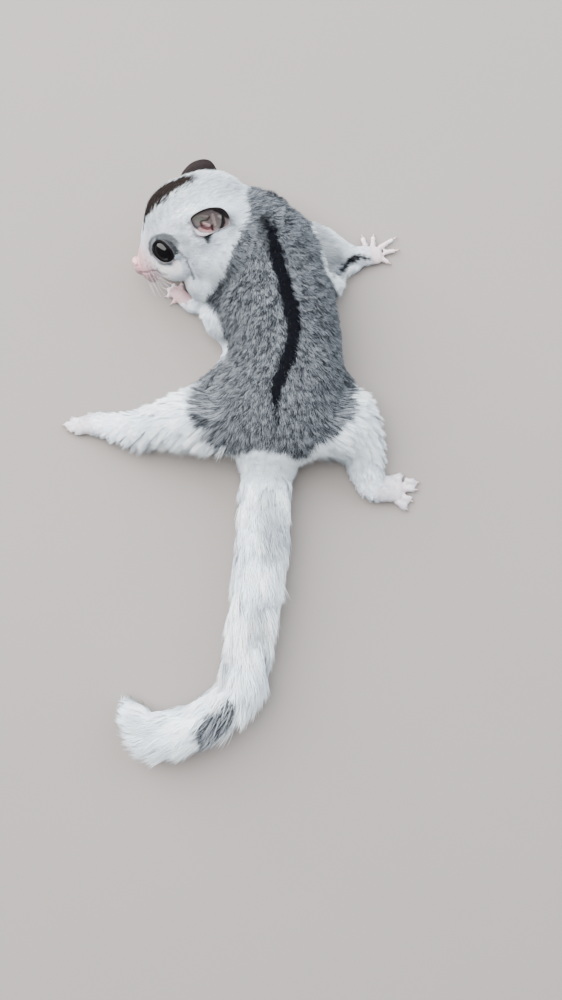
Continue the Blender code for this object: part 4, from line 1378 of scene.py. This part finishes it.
@dataclass
class Coat:
    """The fur: thin closed tufts that stand on the skin, lean along it and gather into clumps.

    Attributes:
        skin: what it grows on.
        normal_share: how far a tuft is shaded like the skin under it.
        mark: size of a tuft's patch on the map.
    """

    skin: Skin
    normal_share: float = 0.6
    mark: float = 0.003

    def __post_init__(self) -> None:
        """Spread the styles of the runs over the skin and smooth them where runs meet."""
        skin = self.skin
        values = np.zeros((len(skin.points), 4))
        for part, style in COAT.items():
            chosen = skin.part == part.value
            length = mixed(*style.length, style.share(skin.along[chosen]))
            values[chosen] = np.column_stack([length] + [np.full(len(length), v) for v in (style.lean, style.radius, style.pull)])
        a, b, _ = HEAD.local(skin.points).T
        head = skin.part == Part.HEAD.value
        ruff = np.maximum(1.0 - ramp(a, -10.0, -1.0), (1.0 - ramp(b, -9.0, -2.0)) * (1.0 - ramp(a, -1.0, 6.0)))
        values[head, 0] *= (1.0 + 0.8 * ruff)[head]
        values[head, 3] += (0.3 * ruff)[head]
        values[head, 2] *= (1.1 - 0.4 * ramp(a, 2.0, 14.0))[head]
        tail = skin.part == Part.TAIL.value
        values[tail, 0] *= 1.0 - 0.6 * ramp(skin.along[tail], 0.9, 1.0)
        leg = np.isin(skin.part, (Part.THIGH_LEFT.value, Part.THIGH_RIGHT.value))
        fringe = leg * ramp(skin.normals[:, 1], 0.1, 0.7) * (1.0 - ramp(skin.along, 0.55, 0.95))
        values[:, 0] *= 1.0 + 0.6 * fringe
        values[:, 1] += 14.0 * fringe
        values[:, 3] += 0.25 * fringe
        share = np.full(len(skin.points), 0.5)
        self.style = skin.relaxed(values, skin.edges, 60, share)
        self.bare = self.bare_places()

    def bare_places(self) -> Array:
        """1 where no tuft may stand: in the eyes, in the ears, and on the digits' ends."""
        skin = self.skin
        a, b, left = HEAD.local(skin.points).T
        distance, gap = eye_gap(skin.points)
        bare = (gap < 0.1) & (distance < EYE_RADIUS + 1.0)
        nose = np.linalg.norm(np.column_stack([a - 16.2, b + 5.2, left]), axis=1)
        bare |= nose < 1.9
        for sign in (1.0, -1.0):
            wide, turn, height = ear_places(skin.points, sign)
            bare |= (wide < 0.97 * ear_wall(turn)[2]) & (np.abs(height) < 5.0)
        for part, digits in DIGITS.items():
            bald = 0.35 if part in (Part.HAND_LEFT, Part.HAND_RIGHT) else 0.75
            for knuckle, tip in digits:
                span = np.array(tip) - np.array(knuckle)
                t = (skin.points[:, :2] - np.array(knuckle)) @ span / (span @ span)
                gap = np.linalg.norm(skin.points[:, :2] - np.array(knuckle) - t[:, None] * span, axis=1)
                bare |= (t > bald) & (t < 1.4) & (gap < 1.4)
        return bare.astype(float)

    def grow(self, piece: CoatPiece, rng: np.random.Generator) -> bpy.types.Object:
        """Grow one piece of the coat.

        Args:
            piece: what to grow.
            rng: the seeded source of its scatter.

        Returns:
            The piece's object.
        """
        skin = self.skin
        faces = skin.faces
        corners = skin.points[faces]
        area = 0.5 * np.linalg.norm(np.cross(corners[:, 1] - corners[:, 0], corners[:, 2] - corners[:, 0]), axis=1)
        mean_along = skin.along[faces].mean(1)
        mean_normal = skin.normals[faces].mean(1)
        mine = np.isin(skin.part[faces[:, 0]], [part.value for part in piece.parts])
        mine &= (mean_along >= piece.start) & (mean_along < piece.end + (piece.end == 1.0))
        under = 0.3 + 0.7 * ramp(mean_normal[:, 2], -0.75, -0.15)
        weight = area * mine * under * (self.bare[faces].mean(1) < 0.5)
        weight /= self.style[faces, 2].mean(1)
        total = np.cumsum(weight)
        pick = (np.arange(piece.tufts) + rng.random(piece.tufts)) / piece.tufts * total[-1]
        face = np.searchsorted(total, pick).clip(0, len(faces) - 1)
        u, v = rng.random(piece.tufts), rng.random(piece.tufts)
        u, v = np.where(u + v > 1, 1 - u, u), np.where(u + v > 1, 1 - v, v)
        share = np.column_stack([1 - u - v, u, v])[..., None]

        def spread(values: Array) -> Array:
            """Values at the points of the skin, blended across the chosen triangles."""
            return (values[faces[face]] * share).sum(1)

        root, normal = spread(skin.points), unit(spread(skin.normals))
        lie = spread(skin.lie)
        lie = unit(lie - np.einsum("ij,ij->i", lie, normal)[:, None] * normal)
        length, lean, radius, pull = spread(self.style).T
        part = skin.part[faces[face, 0]]
        return self.write(piece, rng, root, normal, lie, (length, lean, radius, pull), part, face)

    def write(
        self,
        piece: CoatPiece,
        rng: np.random.Generator,
        root: Array,
        normal: Array,
        lie: Array,
        style: tuple[Array, Array, Array, Array],
        part: Array,
        face: Array,
    ) -> bpy.types.Object:
        """Shape, colour and write the tufts of one piece.

        A tuft has a ring of three points at its root, one more half way if it is bent, and a tip:
        root plus length times (cosine of the lean along the lie plus sine of it along the normal),
        drawn towards its clump's centre.

        Args:
            piece: the piece that they belong to.
            rng: source of scatter.
            root: where the tufts stand.
            normal: the skin's normals there.
            lie: the way the coat lies there.
            style: length, lean in degrees, radius and pull of each tuft.
            part: run of each tuft.
            face: triangle of the skin that each tuft stands on.

        Returns:
            The piece's object.
        """
        count = len(root)
        length, lean, radius, pull = style
        toward, clump = nearest_clump(root, COAT[piece.parts[0]].clump, 11)
        toward -= np.einsum("ij,ij->i", toward, normal)[:, None] * normal
        cross = np.cross(normal, lie)
        swirl = COAT[piece.parts[0]].swirl
        turn = 20.0 * noise(root, 2.0, 21) + 52.0 * (clump - 0.5) + 13.0 * rng.standard_normal(count)
        turn = np.radians(swirl * turn)
        way = lie * np.cos(turn)[:, None] + cross * np.sin(turn)[:, None]
        pick = rng.random(count)
        ragged = COAT[piece.parts[0]].ragged
        long = length * (0.78 + 0.3 * rng.random(count) + ragged * (clump - 0.5))
        rise = np.radians(lean * (0.85 + 0.3 * rng.random(count) + 0.3 * noise(root, 1.7, 23)))
        foot = root - 0.12 * normal
        draw = (pull * (0.8 + 0.4 * rng.random(count)))[:, None] * toward
        tip = foot + long[:, None] * (way * np.cos(rise)[:, None] + normal * np.sin(rise)[:, None]) + draw
        side = unit(np.cross(normal, tip - foot))
        lift = np.cross(unit(tip - foot), side)
        ring = np.radians((90.0, 210.0, 330.0))
        spoke = side[:, None] * np.cos(ring)[None, :, None] + 0.6 * lift[:, None] * np.sin(ring)[None, :, None]
        levels = [foot[:, None] + radius[:, None, None] * spoke]
        if piece.bent:
            steep = rise + np.radians(10.0)
            middle = foot + 0.5 * long[:, None] * (way * np.cos(steep)[:, None] + normal * np.sin(steep)[:, None])
            middle += 0.35 * draw
            tip = tip - 0.06 * long[:, None] * normal
            levels.append(middle[:, None] + 0.8 * radius[:, None, None] * spoke)
        levels.append(tip[:, None])
        points = np.concatenate(levels, axis=1)
        points[..., 2] = np.maximum(points[..., 2], FLOOR_CLEARANCE * (1.0 + pick[:, None]))
        each = points.shape[1]
        pattern = [(0, 2, 1)]
        for k in range(3):
            after = (k + 1) % 3
            if piece.bent:
                pattern += [(k, after, after + 3), (k, after + 3, k + 3), (k + 3, after + 3, 6)]
            else:
                pattern.append((k, after, 3))
        triangles = (np.arange(count)[:, None, None] * each + np.array(pattern)[None]).reshape(-1, 3)
        fan = np.concatenate([np.tile(spoke, (1, 1 + piece.bent, 1)), np.zeros((count, 1, 3))], axis=1)
        shading = unit(self.normal_share * normal[:, None] + (1 - self.normal_share) * fan)
        wander = 2.0 * np.column_stack([noise(root, 1.4, 5), noise(root, 1.4, 6)])
        wander += 0.9 * rng.standard_normal((count, 2)) + (3.0 * (clump - 0.5))[:, None]
        marks = Markings.at(foot + 0.5 * (tip - foot), normal, part, wander)
        drift = noise(root, 5.0, 31) + 0.6 * noise(root, 2.4, 32)
        base_tone, tip_tone = coat_tones(marks, pick, clump, drift, (part == Part.HEAD.value).astype(float))
        height = np.array([0, 0, 0] + [0.5] * (3 * piece.bent) + [1.0])
        # darker towards the root: painted shade between the tufts
        tones = mixed(base_tone[:, None], tip_tone[:, None], height[None, :, None] ** 0.8)
        places = self.map_patches(face, part, height, piece, count, each)
        made = place_piece(
            piece.name,
            points.reshape(-1, 3),
            triangles,
            self.finish,
            tones.reshape(-1, 3),
            shading.reshape(-1, 3),
            places[triangles.ravel()],
        )
        return made

    def map_patches(
        self, face: Array, part: Array, height: Array, piece: CoatPiece, count: int, each: int
    ) -> Array:
        """Each tuft's small patch at its root's place on the unwrap of the skin under this piece.

        Args:
            face: triangle of the skin that each tuft stands on.
            part: run of each tuft.
            height: how far up the tuft each of its points is.
            piece: the piece of coat.
            count: number of tufts.
            each: points in a tuft.

        Returns:
            A place on the map for every point; runs lie side by side, round them across and
            along them upwards.
        """
        skin = self.skin
        first = skin.faces[face, 0]
        column = np.zeros(count)
        for number, run in enumerate(piece.parts):
            column[part == run.value] = number
        round_it = skin.angle[first] / (2 * math.pi) + 0.5
        along = (skin.along[first] - piece.start) / (piece.end - piece.start)
        across = 0.01 + 0.98 * (column + np.clip(round_it, 0.02, 0.98)) / len(piece.parts)
        centre = np.column_stack([across, 0.01 + 0.98 * np.clip(along, 0.0, 1.0)])
        spread = np.array([(-0.5, 0.0), (0.5, 0.0), (0.0, -0.25)])
        own = np.zeros((each, 2))
        for k in range(each):
            corner = spread[k % 3] if k < each - 1 else np.zeros(2)
            own[k] = (corner[0], corner[1] + height[k] - 0.5)
        return (centre[:, None] + self.mark * own[None]).reshape(-1, 2)

    def build(self) -> list[bpy.types.Object]:
        """Grow every piece of the coat."""
        self.finish = COAT_FINISH.material()
        rng = np.random.default_rng(SEED)
        return [self.grow(piece, rng) for piece in COAT_PIECES]


# ---- eyes, ears, nose, claws and whiskers ----


@dataclass
class Eye:
    """A dark glossy eyeball with its lid.

    Attributes:
        side: "left" or "right".
        sign: 1 on the left and -1 on the right.
        lid: radius of the lid's rolled edge.
    """

    side: str
    sign: float
    lid: float = 0.29

    def axes(self) -> tuple[Array, Array, Array, Array]:
        """Centre, outward axis, forward axis and upward axis of the eye."""
        along, up, out = EYE_CENTRE
        centre = HEAD.place(along, up, self.sign * out)
        axis = HEAD.direction(EYE_AXIS[0], EYE_AXIS[1], self.sign * EYE_AXIS[2])
        fore = unit(HEAD.forward - axis * (HEAD.forward @ axis))
        return centre, axis, fore, np.cross(axis, fore) * self.sign

    def ball(self, finish: bpy.types.Material) -> None:
        """The eyeball: a sphere whose front swells a little into the cornea."""
        centre, axis, fore, up = self.axes()
        polar = np.linspace(0.02, math.pi - 0.02, 40)[:, None]
        turn = np.linspace(0, 2 * math.pi, 64, endpoint=False)[None, :]
        radius = EYE_RADIUS * (0.985 + 0.03 * np.exp(-((polar / 0.6) ** 2)))
        ring = np.sin(polar)[..., None] * (np.cos(turn)[..., None] * fore + np.sin(turn)[..., None] * up)
        points = centre + radius[..., None] * (np.cos(polar)[..., None] * axis + ring)
        points, triangles = closed_tube(points)
        iris = np.exp(-((np.linspace(0, 1, 40) / 0.36) ** 4))
        tones = mixed(np.array((0.006, 0.004, 0.004)), np.array((0.0015, 0.0012, 0.0015)), iris[:, None])
        tones = np.vstack([np.repeat(tones, 64, axis=0), tones[0], tones[-1]])
        piece = place_piece(f"eyeball_{self.side}", points, outward(points, triangles), finish, tones)
        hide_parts(f"eye_{self.side}")

    def lids(self, finish: bpy.types.Material) -> None:
        """The lid: a rolled edge on the ball, thick above and behind, thin below."""
        centre, axis, fore, up = self.axes()
        turn = np.linspace(0, 2 * math.pi, 96, endpoint=False)
        edge = eye_edge(turn)
        thick = self.lid * (1.0 - 0.4 * np.sin(turn + 0.6))
        reach = EYE_RADIUS + 0.35 * thick
        level = np.cos(turn)[:, None] * fore + np.sin(turn)[:, None] * up
        path = centre + reach[:, None] * (np.cos(edge)[:, None] * axis + np.sin(edge)[:, None] * level)
        roll = np.linspace(0, 2 * math.pi, 14, endpoint=False)
        flat = thick[:, None, None] * (
            1.25 * np.cos(roll)[None, :, None] * level[:, None] + 0.85 * np.sin(roll)[None, :, None] * axis
        )
        points = (path[:, None] + flat).reshape(-1, 3)
        rows, columns = len(turn), len(roll)
        triangles = grid_triangles(rows + 1, columns, True) % (rows * columns)
        tone = np.tile(mixed(0.75, 1.3, 0.5 + 0.5 * np.cos(roll))[:, None] * np.array((0.004, 0.0036, 0.0042)), (rows, 1))
        piece = place_piece(f"eyelid_{self.side}", points, outward(points, triangles), finish, tone)


# The inside of the ear in the photograph's view: colour, height in millimetres, and a stroke
EAR_PAINT = (
    ((0.158, 0.150, 0.135), 0.0, ((195, 217, 6), (199, 221, 8), (203, 219, 7))),
    ((0.040, 0.037, 0.043), 0.0, ((189.5, 215, 2.4), (190.5, 220, 2.4), (193.5, 225, 2.0), (197, 228, 1.6))),
    ((0.036, 0.034, 0.040), 0.0, ((190.3, 213.4, 3), (196.5, 210, 3), (204.6, 207.8, 3), (214, 208, 3))),
    ((0.188, 0.158, 0.143), 0.5, ((200, 216, 2), (205, 217, 2.6), (209, 217, 2))),
    ((0.225, 0.180, 0.168), 0.5, ((212.5, 215, 3), (213.5, 220, 4), (214.5, 225, 3.5))),
    ((0.285, 0.277, 0.262), 0.4, ((219, 216, 2), (221, 217.5, 2))),
    ((0.098, 0.093, 0.093), 0.0, ((218.6, 220, 2.4), (218.8, 228, 2.4))),
    ((0.255, 0.147, 0.150), 0.0, ((200, 229.5, 3), (205, 231, 3), (211, 231, 3))),
    ((0.098, 0.039, 0.044), -0.5, ((201, 222.8, 2), (203, 227, 2.4), (208, 228.6, 2.4), (212, 227.5, 2.4))),
    ((0.033, 0.012, 0.015), -0.6, ((212.6, 225.5, 2.2), (212.8, 229, 2.2))),
    ((0.495, 0.300, 0.300), 0.3, ((204, 223.8, 2.2), (209, 225.4, 2.4))),
    ((0.043, 0.036, 0.030), -0.5, ((209.6, 216.8, 1.4), (207.8, 219.8, 1.8), (201, 221.2, 1.4))),
    ((0.37, 0.36, 0.39), 0.2, ((189, 226, 4), (194, 231.5, 6), (200, 235, 5), (212, 236, 5), (224, 233, 4))),
    # painted shade on the inside of the ear's back wall, down the right and along the top
    ((0.013, 0.012, 0.013), -0.4, ((222.8, 216.6, 3), (223.6, 222.5, 3.8), (221.8, 227.5, 3.2), (220, 231.5, 2.2))),
    ((0.012, 0.011, 0.013), 0.0, ((214.6, 209.4, 3.5), (220, 210.8, 5.5), (225, 213.6, 6), (229, 217.6, 4))),
)


@dataclass
class Ear:
    """A thin cupped ear with folds inside and a dark rim.

    Attributes:
        side: "left" or "right".
        sign: 1 on the left and -1 on the right.
        wall: thickness at the foot; the rim is thinner.
    """

    side: str
    sign: float
    wall: float = 0.55

    def build(self, finish: bpy.types.Material) -> None:
        """Make the ear: out along its inside, over the rim, and back down its outside."""
        turn = np.linspace(-math.pi, math.pi, 144, endpoint=False)
        foot, top, rim = ear_wall(turn)
        inner, climb = np.linspace(0.05, 1.0, 20), np.linspace(0.0, 1.0, 36)[1:]
        level = np.ones(len(turn))
        rows = [(foot * t, EAR_FLOOR * level, 0.0 * level, 0.3 * t) for t in inner]

        def wall(t: float, side: float, low: float) -> tuple[Array, Array, Array]:
            """Spread, height and offset of the wall at a share of its height."""
            wide = foot + (rim - foot) * math.sin(0.5 * math.pi * t)
            return wide, low + (top - low) * t**1.1, side * 0.5 * self.wall * (1.0 - 0.45 * t) * level

        rows += [(*wall(t, -1.0, EAR_FLOOR), 0.3 + 0.7 * t) for t in climb]
        spread = wall(1.0, 0.0, 0.0)[0]
        rows.append((spread, top + 0.15, 0.0 * level, 1.05))
        rows += [(*wall(t, 1.0, -EAR_SUNK), 1.1 + 0.9 * (1.0 - t)) for t in climb[::-1]]
        rows += [(foot * t, -EAR_SUNK * level, 0.0 * level, 2.0) for t in inner[::-1]]
        scale, height, offset = (np.array([row[k] for row in rows]) for k in range(3))
        stage = np.repeat(np.array([row[3] for row in rows])[:, None], len(turn), axis=1)
        ripple = 0.14 * np.sin(5.0 * turn + 1.0)[None] * ramp(scale, 0.7, 1.0)
        x = (EAR_WIDTH * scale + offset) * np.sin(turn) + ripple
        y = (EAR_DEPTH * scale + offset) * np.cos(turn) * np.where(np.cos(turn) < 0, EAR_OPEN_SIDE, 1.0)
        tones, relief = self.paint(x, y, height, stage)
        # painted shade: the right ear's inside and rim are darkened to 0.16 of the left ear's colours
        tones = tones * (1.0 if self.sign > 0 else mixed(0.16, 1.0, ramp(stage, 1.0, 1.2))[..., None])
        base, fore, back, stem = ear_frame(self.sign)
        height = height + relief * (1.0 - ramp(stage, 0.5, 0.85))
        points = base + x[..., None] * fore + y[..., None] * back + height[..., None] * stem
        shape, triangles = closed_tube(points)
        tones = np.vstack([tones.reshape(-1, 3), tones[0].mean(0), tones[-1].mean(0)])
        piece = place_piece(f"ear_shell_{self.side}", shape, outward(shape, triangles), finish, tones)
        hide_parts(f"ear_{self.side}")

    @staticmethod
    def paint(x: Array, y: Array, height: Array, stage: Array) -> tuple[Array, Array]:
        """Colours and relief of the ear: folds and hollows inside, painted shade on the inside of its back wall, a
        dark rim and a brown outside.

        Args:
            x: place along the ear's fore axis.
            y: place along its back axis.
            height: place along its stem.
            stage: 0 at the middle of the inside, 1 at the rim, 2 at the foot of the outside.

        Returns:
            Colours, and heights to add inside; the strokes are read where the left ear shows.
        """
        base, fore, back, stem = ear_frame(1.0)
        near = base + x[..., None] * fore + y[..., None] * back + height[..., None] * stem
        seen = seen_at(near.reshape(-1, 3))
        inside = (stage < 1.0).ravel()
        tone = np.repeat(np.array([(0.13, 0.105, 0.107)]), len(seen), axis=0)
        relief = np.zeros(len(seen))
        for colour, raised, line in EAR_PAINT:
            strength = stroke(seen, line, 1.6) * inside
            tone = mixed(tone, np.array(colour), strength[:, None])
            relief = mixed(relief, raised, strength)
        tone = tone.reshape(*x.shape, 3)
        low = ramp(seen[:, 1] + 0.25 * np.abs(seen[:, 0] - 205.0), 223.0, 229.0).reshape(x.shape)[..., None]
        rim = mixed(np.array((0.018, 0.013, 0.013)), np.array((0.31, 0.28, 0.30)), low)
        tone = mixed(tone, rim, ramp(stage, 0.82, 0.97)[..., None])
        outer = np.array((0.010, 0.007, 0.007))
        outer = mixed(outer, np.array((0.34, 0.33, 0.35)), low)
        return mixed(tone, outer, ramp(stage, 1.1, 1.3)[..., None]), relief.reshape(x.shape)


@dataclass
class Nose:
    """The bare nose pad with two comma-shaped nostrils and the groove between them."""

    along: float = 16.85
    up: float = -5.6
    deep: float = 1.15
    high: float = 1.3
    wide: float = 1.85

    def build(self, finish: bpy.types.Material) -> None:
        """Make the pad: a flattened ball, dented at the nostrils and along the middle."""
        polar = np.linspace(0.02, math.pi - 0.02, 56)[:, None]
        turn = np.linspace(0, 2 * math.pi, 72, endpoint=False)[None, :]
        ahead = np.cos(polar) * np.ones_like(turn)
        across, rise = np.sin(polar) * np.cos(turn), np.sin(polar) * np.sin(turn)
        nostril = np.exp(-(((np.abs(across) - 0.52) / 0.17) ** 2) - ((rise + 0.05) / 0.24) ** 2)
        nostril = np.maximum(
            nostril, 0.8 * np.exp(-(((np.abs(across) - 0.76) / 0.16) ** 2) - ((rise + 0.2) / 0.15) ** 2)
        )
        groove = np.exp(-((across / 0.09) ** 2)) * ramp(-rise, -0.1, 0.3)
        front = ramp(ahead, 0.0, 0.3)
        dent = 1.0 - (0.42 * nostril + 0.14 * groove) * front
        points = HEAD.place(
            self.along + self.deep * ahead * dent, self.up + self.high * rise * dent, self.wide * across * dent
        )
        shape, triangles = closed_tube(points)
        pink, dark = np.array((0.50, 0.29, 0.32)), np.array((0.12, 0.035, 0.03))
        # darker in the nostrils and along the groove: painted shade in these dents
        tones = mixed(pink, dark, np.clip(1.1 * nostril * front + 0.35 * groove * front, 0, 1)[..., None])
        tones = np.vstack([tones.reshape(-1, 3), tones[0].mean(0), tones[-1].mean(0)])
        piece = place_piece("nose_pad", shape, outward(shape, triangles), finish, tones)
        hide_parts("nose")


@dataclass
class Claws:
    """The claws of one hand or foot: thin curved hooks at the digits' ends."""

    part: Part
    radius: float = 0.24

    def build(self, finish: bpy.types.Material) -> None:
        """Make each claw along a curve that leaves the digit level and bends down to the floor."""
        shapes = []
        for knuckle, tip in DIGITS[self.part]:
            path = digit_path(self.part, knuckle, tip)
            away = unit((path[-1] - path[1]) * np.array((1.0, 1.0, 0.0)))
            t = np.linspace(0.0, 1.0, 12)[:, None]
            start = path[-1] - 0.25 * away + np.array((0.0, 0.0, 0.22))
            curve = start + away * (CLAW_REACH + 0.1) * np.sin(0.5 * math.pi * t)
            drop = (start[2] - 0.1) * t[:, 0] ** 2.2 - 0.25 * np.sin(math.pi * t[:, 0])
            curve[:, 2] = start[2] - drop
            radii = self.radius * (1.0 - 0.9 * t[:, 0] ** 1.4) + 0.01
            shapes.append(bent_tube(curve, radii, 10, 1.3))
        points, triangles = combined(shapes)
        points[:, 2] = np.maximum(points[:, 2], FLOOR_CLEARANCE)
        share = ramp(np.tile(np.concatenate([np.repeat(np.linspace(0, 1, 12), 10), [0, 1]]), len(shapes)), 0.1, 0.9)
        tones = mixed(np.array((0.50, 0.36, 0.31)), np.array((0.20, 0.15, 0.13)), share[:, None])
        place_piece(f"claws_{self.part.name.lower()}", points, triangles, finish, tones)


@dataclass
class Whiskers:
    """Fine tapering hairs in rows on both sides of the muzzle."""

    sign: float
    side: str
    rows: int = 4
    columns: int = 5

    def build(self, finish: bpy.types.Material, rng: np.random.Generator) -> None:
        """Make each whisker along a curve that leaves the muzzle sideways and sweeps back."""
        shapes = []
        track = head_track(0.5)
        stations = HEAD.local(track.centres)
        for row, column in itertools.product(range(self.rows), range(self.columns)):
            along = 14.6 - 0.75 * column - 0.15 * row
            k = np.abs(stations[:, 0] - along).argmin()
            turn = math.radians(-8.0 - 14.0 * row + 3.0 * column)
            wide, high = track.widths[k] - 0.8, track.heights[k] - 0.8
            up, out = stations[k, 1] + high * math.sin(turn), wide * math.cos(turn)
            length = 5.5 + 1.1 * column + 1.5 * rng.random()
            t = np.linspace(0.0, 1.0, 14)
            sweep = 0.15 + 0.12 * column
            path = HEAD.place(
                along + length * (0.15 * t - sweep * t**2),
                up + length * (0.10 - 0.12 * row + 0.12 * rng.random()) * t - 0.12 * length * t**2,
                self.sign * (out + length * 0.85 * t),
            )
            path[:, 2] = np.maximum(path[:, 2], 0.1)
            shapes.append(bent_tube(path, 0.045 * (1.0 - 0.85 * t) + 0.004, 5))
        points, triangles = combined(shapes)
        share = np.tile(np.concatenate([np.repeat(np.linspace(0, 1, 14), 5), [0, 1]]), len(shapes))
        tones = mixed(np.array((0.16, 0.14, 0.14)), np.array((0.62, 0.60, 0.60)), share[:, None])
        place_piece(f"whiskers_{self.side}", points, triangles, finish, tones)


# ---- studio ----


@dataclass
class Studio:
    """Floor, soft light and camera."""

    floor_size: float = 9.0

    def build(self) -> None:
        """Make the floor, the lights and the camera."""
        self.floor()
        self.light("key", (0.40, -0.34, 0.64), (0.8, 1.8), 63.0, (1.0, 0.995, 0.99))
        self.light("window", (-0.45, -0.44, 0.56), (0.9, 0.5), 10.0, (0.86, 0.94, 1.0))
        self.light("fill", (-0.95, 0.1, 0.42), (1.0, 0.5), 4.0, (0.92, 0.965, 1.0))
        world = bpy.data.worlds.new("studio")
        world.use_nodes = True
        background = world.node_tree.nodes["Background"]
        background.inputs["Color"].default_value = (0.9, 0.95, 1.0, 1.0)
        background.inputs["Strength"].default_value = 0.42
        bpy.context.scene.world = world
        self.camera()

    def floor(self) -> None:
        """A plain pale floor under the animal."""
        half = self.floor_size / MM / 2
        corner = np.array([(-half, -half), (half, -half), (half, half), (-half, half)])
        points = np.column_stack([corner, np.zeros(4)]) + BELLY
        mesh = plain_mesh("floor", (points - BELLY) * MM, np.array([(0, 1, 2), (0, 2, 3)]))
        mesh.materials.append(FLOOR_FINISH.material())
        floor = bpy.data.objects.new("floor", mesh)
        bpy.context.scene.collection.objects.link(floor)

    def light(self, name: str, place: tuple, size: tuple[float, float], power: float, colour: tuple) -> None:
        """A soft panel of light aimed at the animal, with its long side level."""
        lamp = bpy.data.lights.new(name, "AREA")
        lamp.shape = "RECTANGLE"
        lamp.size, lamp.size_y = size
        lamp.energy = power
        lamp.color = colour
        holder = bpy.data.objects.new(name, lamp)
        bpy.context.scene.collection.objects.link(holder)
        holder.location = place
        aim = -np.array(place) + np.array((0.0, 0.02, 0.0))
        holder.rotation_euler = Vector_track(aim)

    def camera(self) -> None:
        """The photograph's view: straight down, with the head towards the upper edge."""
        lens = bpy.data.cameras.new("view")
        lens.sensor_width = SENSOR
        lens.lens = VIEW_FOCAL / IMAGE_HEIGHT * SENSOR
        lens.clip_start, lens.clip_end = 0.01, 10.0
        holder = bpy.data.objects.new("view", lens)
        bpy.context.scene.collection.objects.link(holder)
        holder.location = (np.array((0.0, VIEW_CENTRE_Y, VIEW_HEIGHT)) - BELLY) * MM
        holder.rotation_euler = (0.0, 0.0, math.pi)
        bpy.context.scene.camera = holder


def Vector_track(aim: Array) -> tuple[float, float, float]:
    """The turn that points a light's -Z axis along aim."""
    from mathutils import Vector

    return Vector(aim).to_track_quat("-Z", "Y").to_euler()


def main() -> None:
    """Build the animal piece by piece, then the studio."""
    logging.basicConfig(level=logging.INFO, format="%(message)s")
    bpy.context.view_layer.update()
    skin = Skin()
    skin.build()
    Coat(skin).build()
    eye, lid, ear = EYE_FINISH.material(), LID_FINISH.material(), EAR_FINISH.material()
    whisker = WHISKER_FINISH.material()
    rng = np.random.default_rng(SEED + 1)
    for side, sign in (("left", 1.0), ("right", -1.0)):
        Eye(side, sign).ball(eye)
        Eye(side, sign).lids(lid)
        Ear(side, sign).build(ear)
        Whiskers(sign, side).build(whisker, rng)
    Nose().build(NOSE_FINISH.material())
    claw = CLAW_FINISH.material()
    for part in DIGITS:
        Claws(part).build(claw)
    Studio().build()


if __name__ == "__main__":
    main()
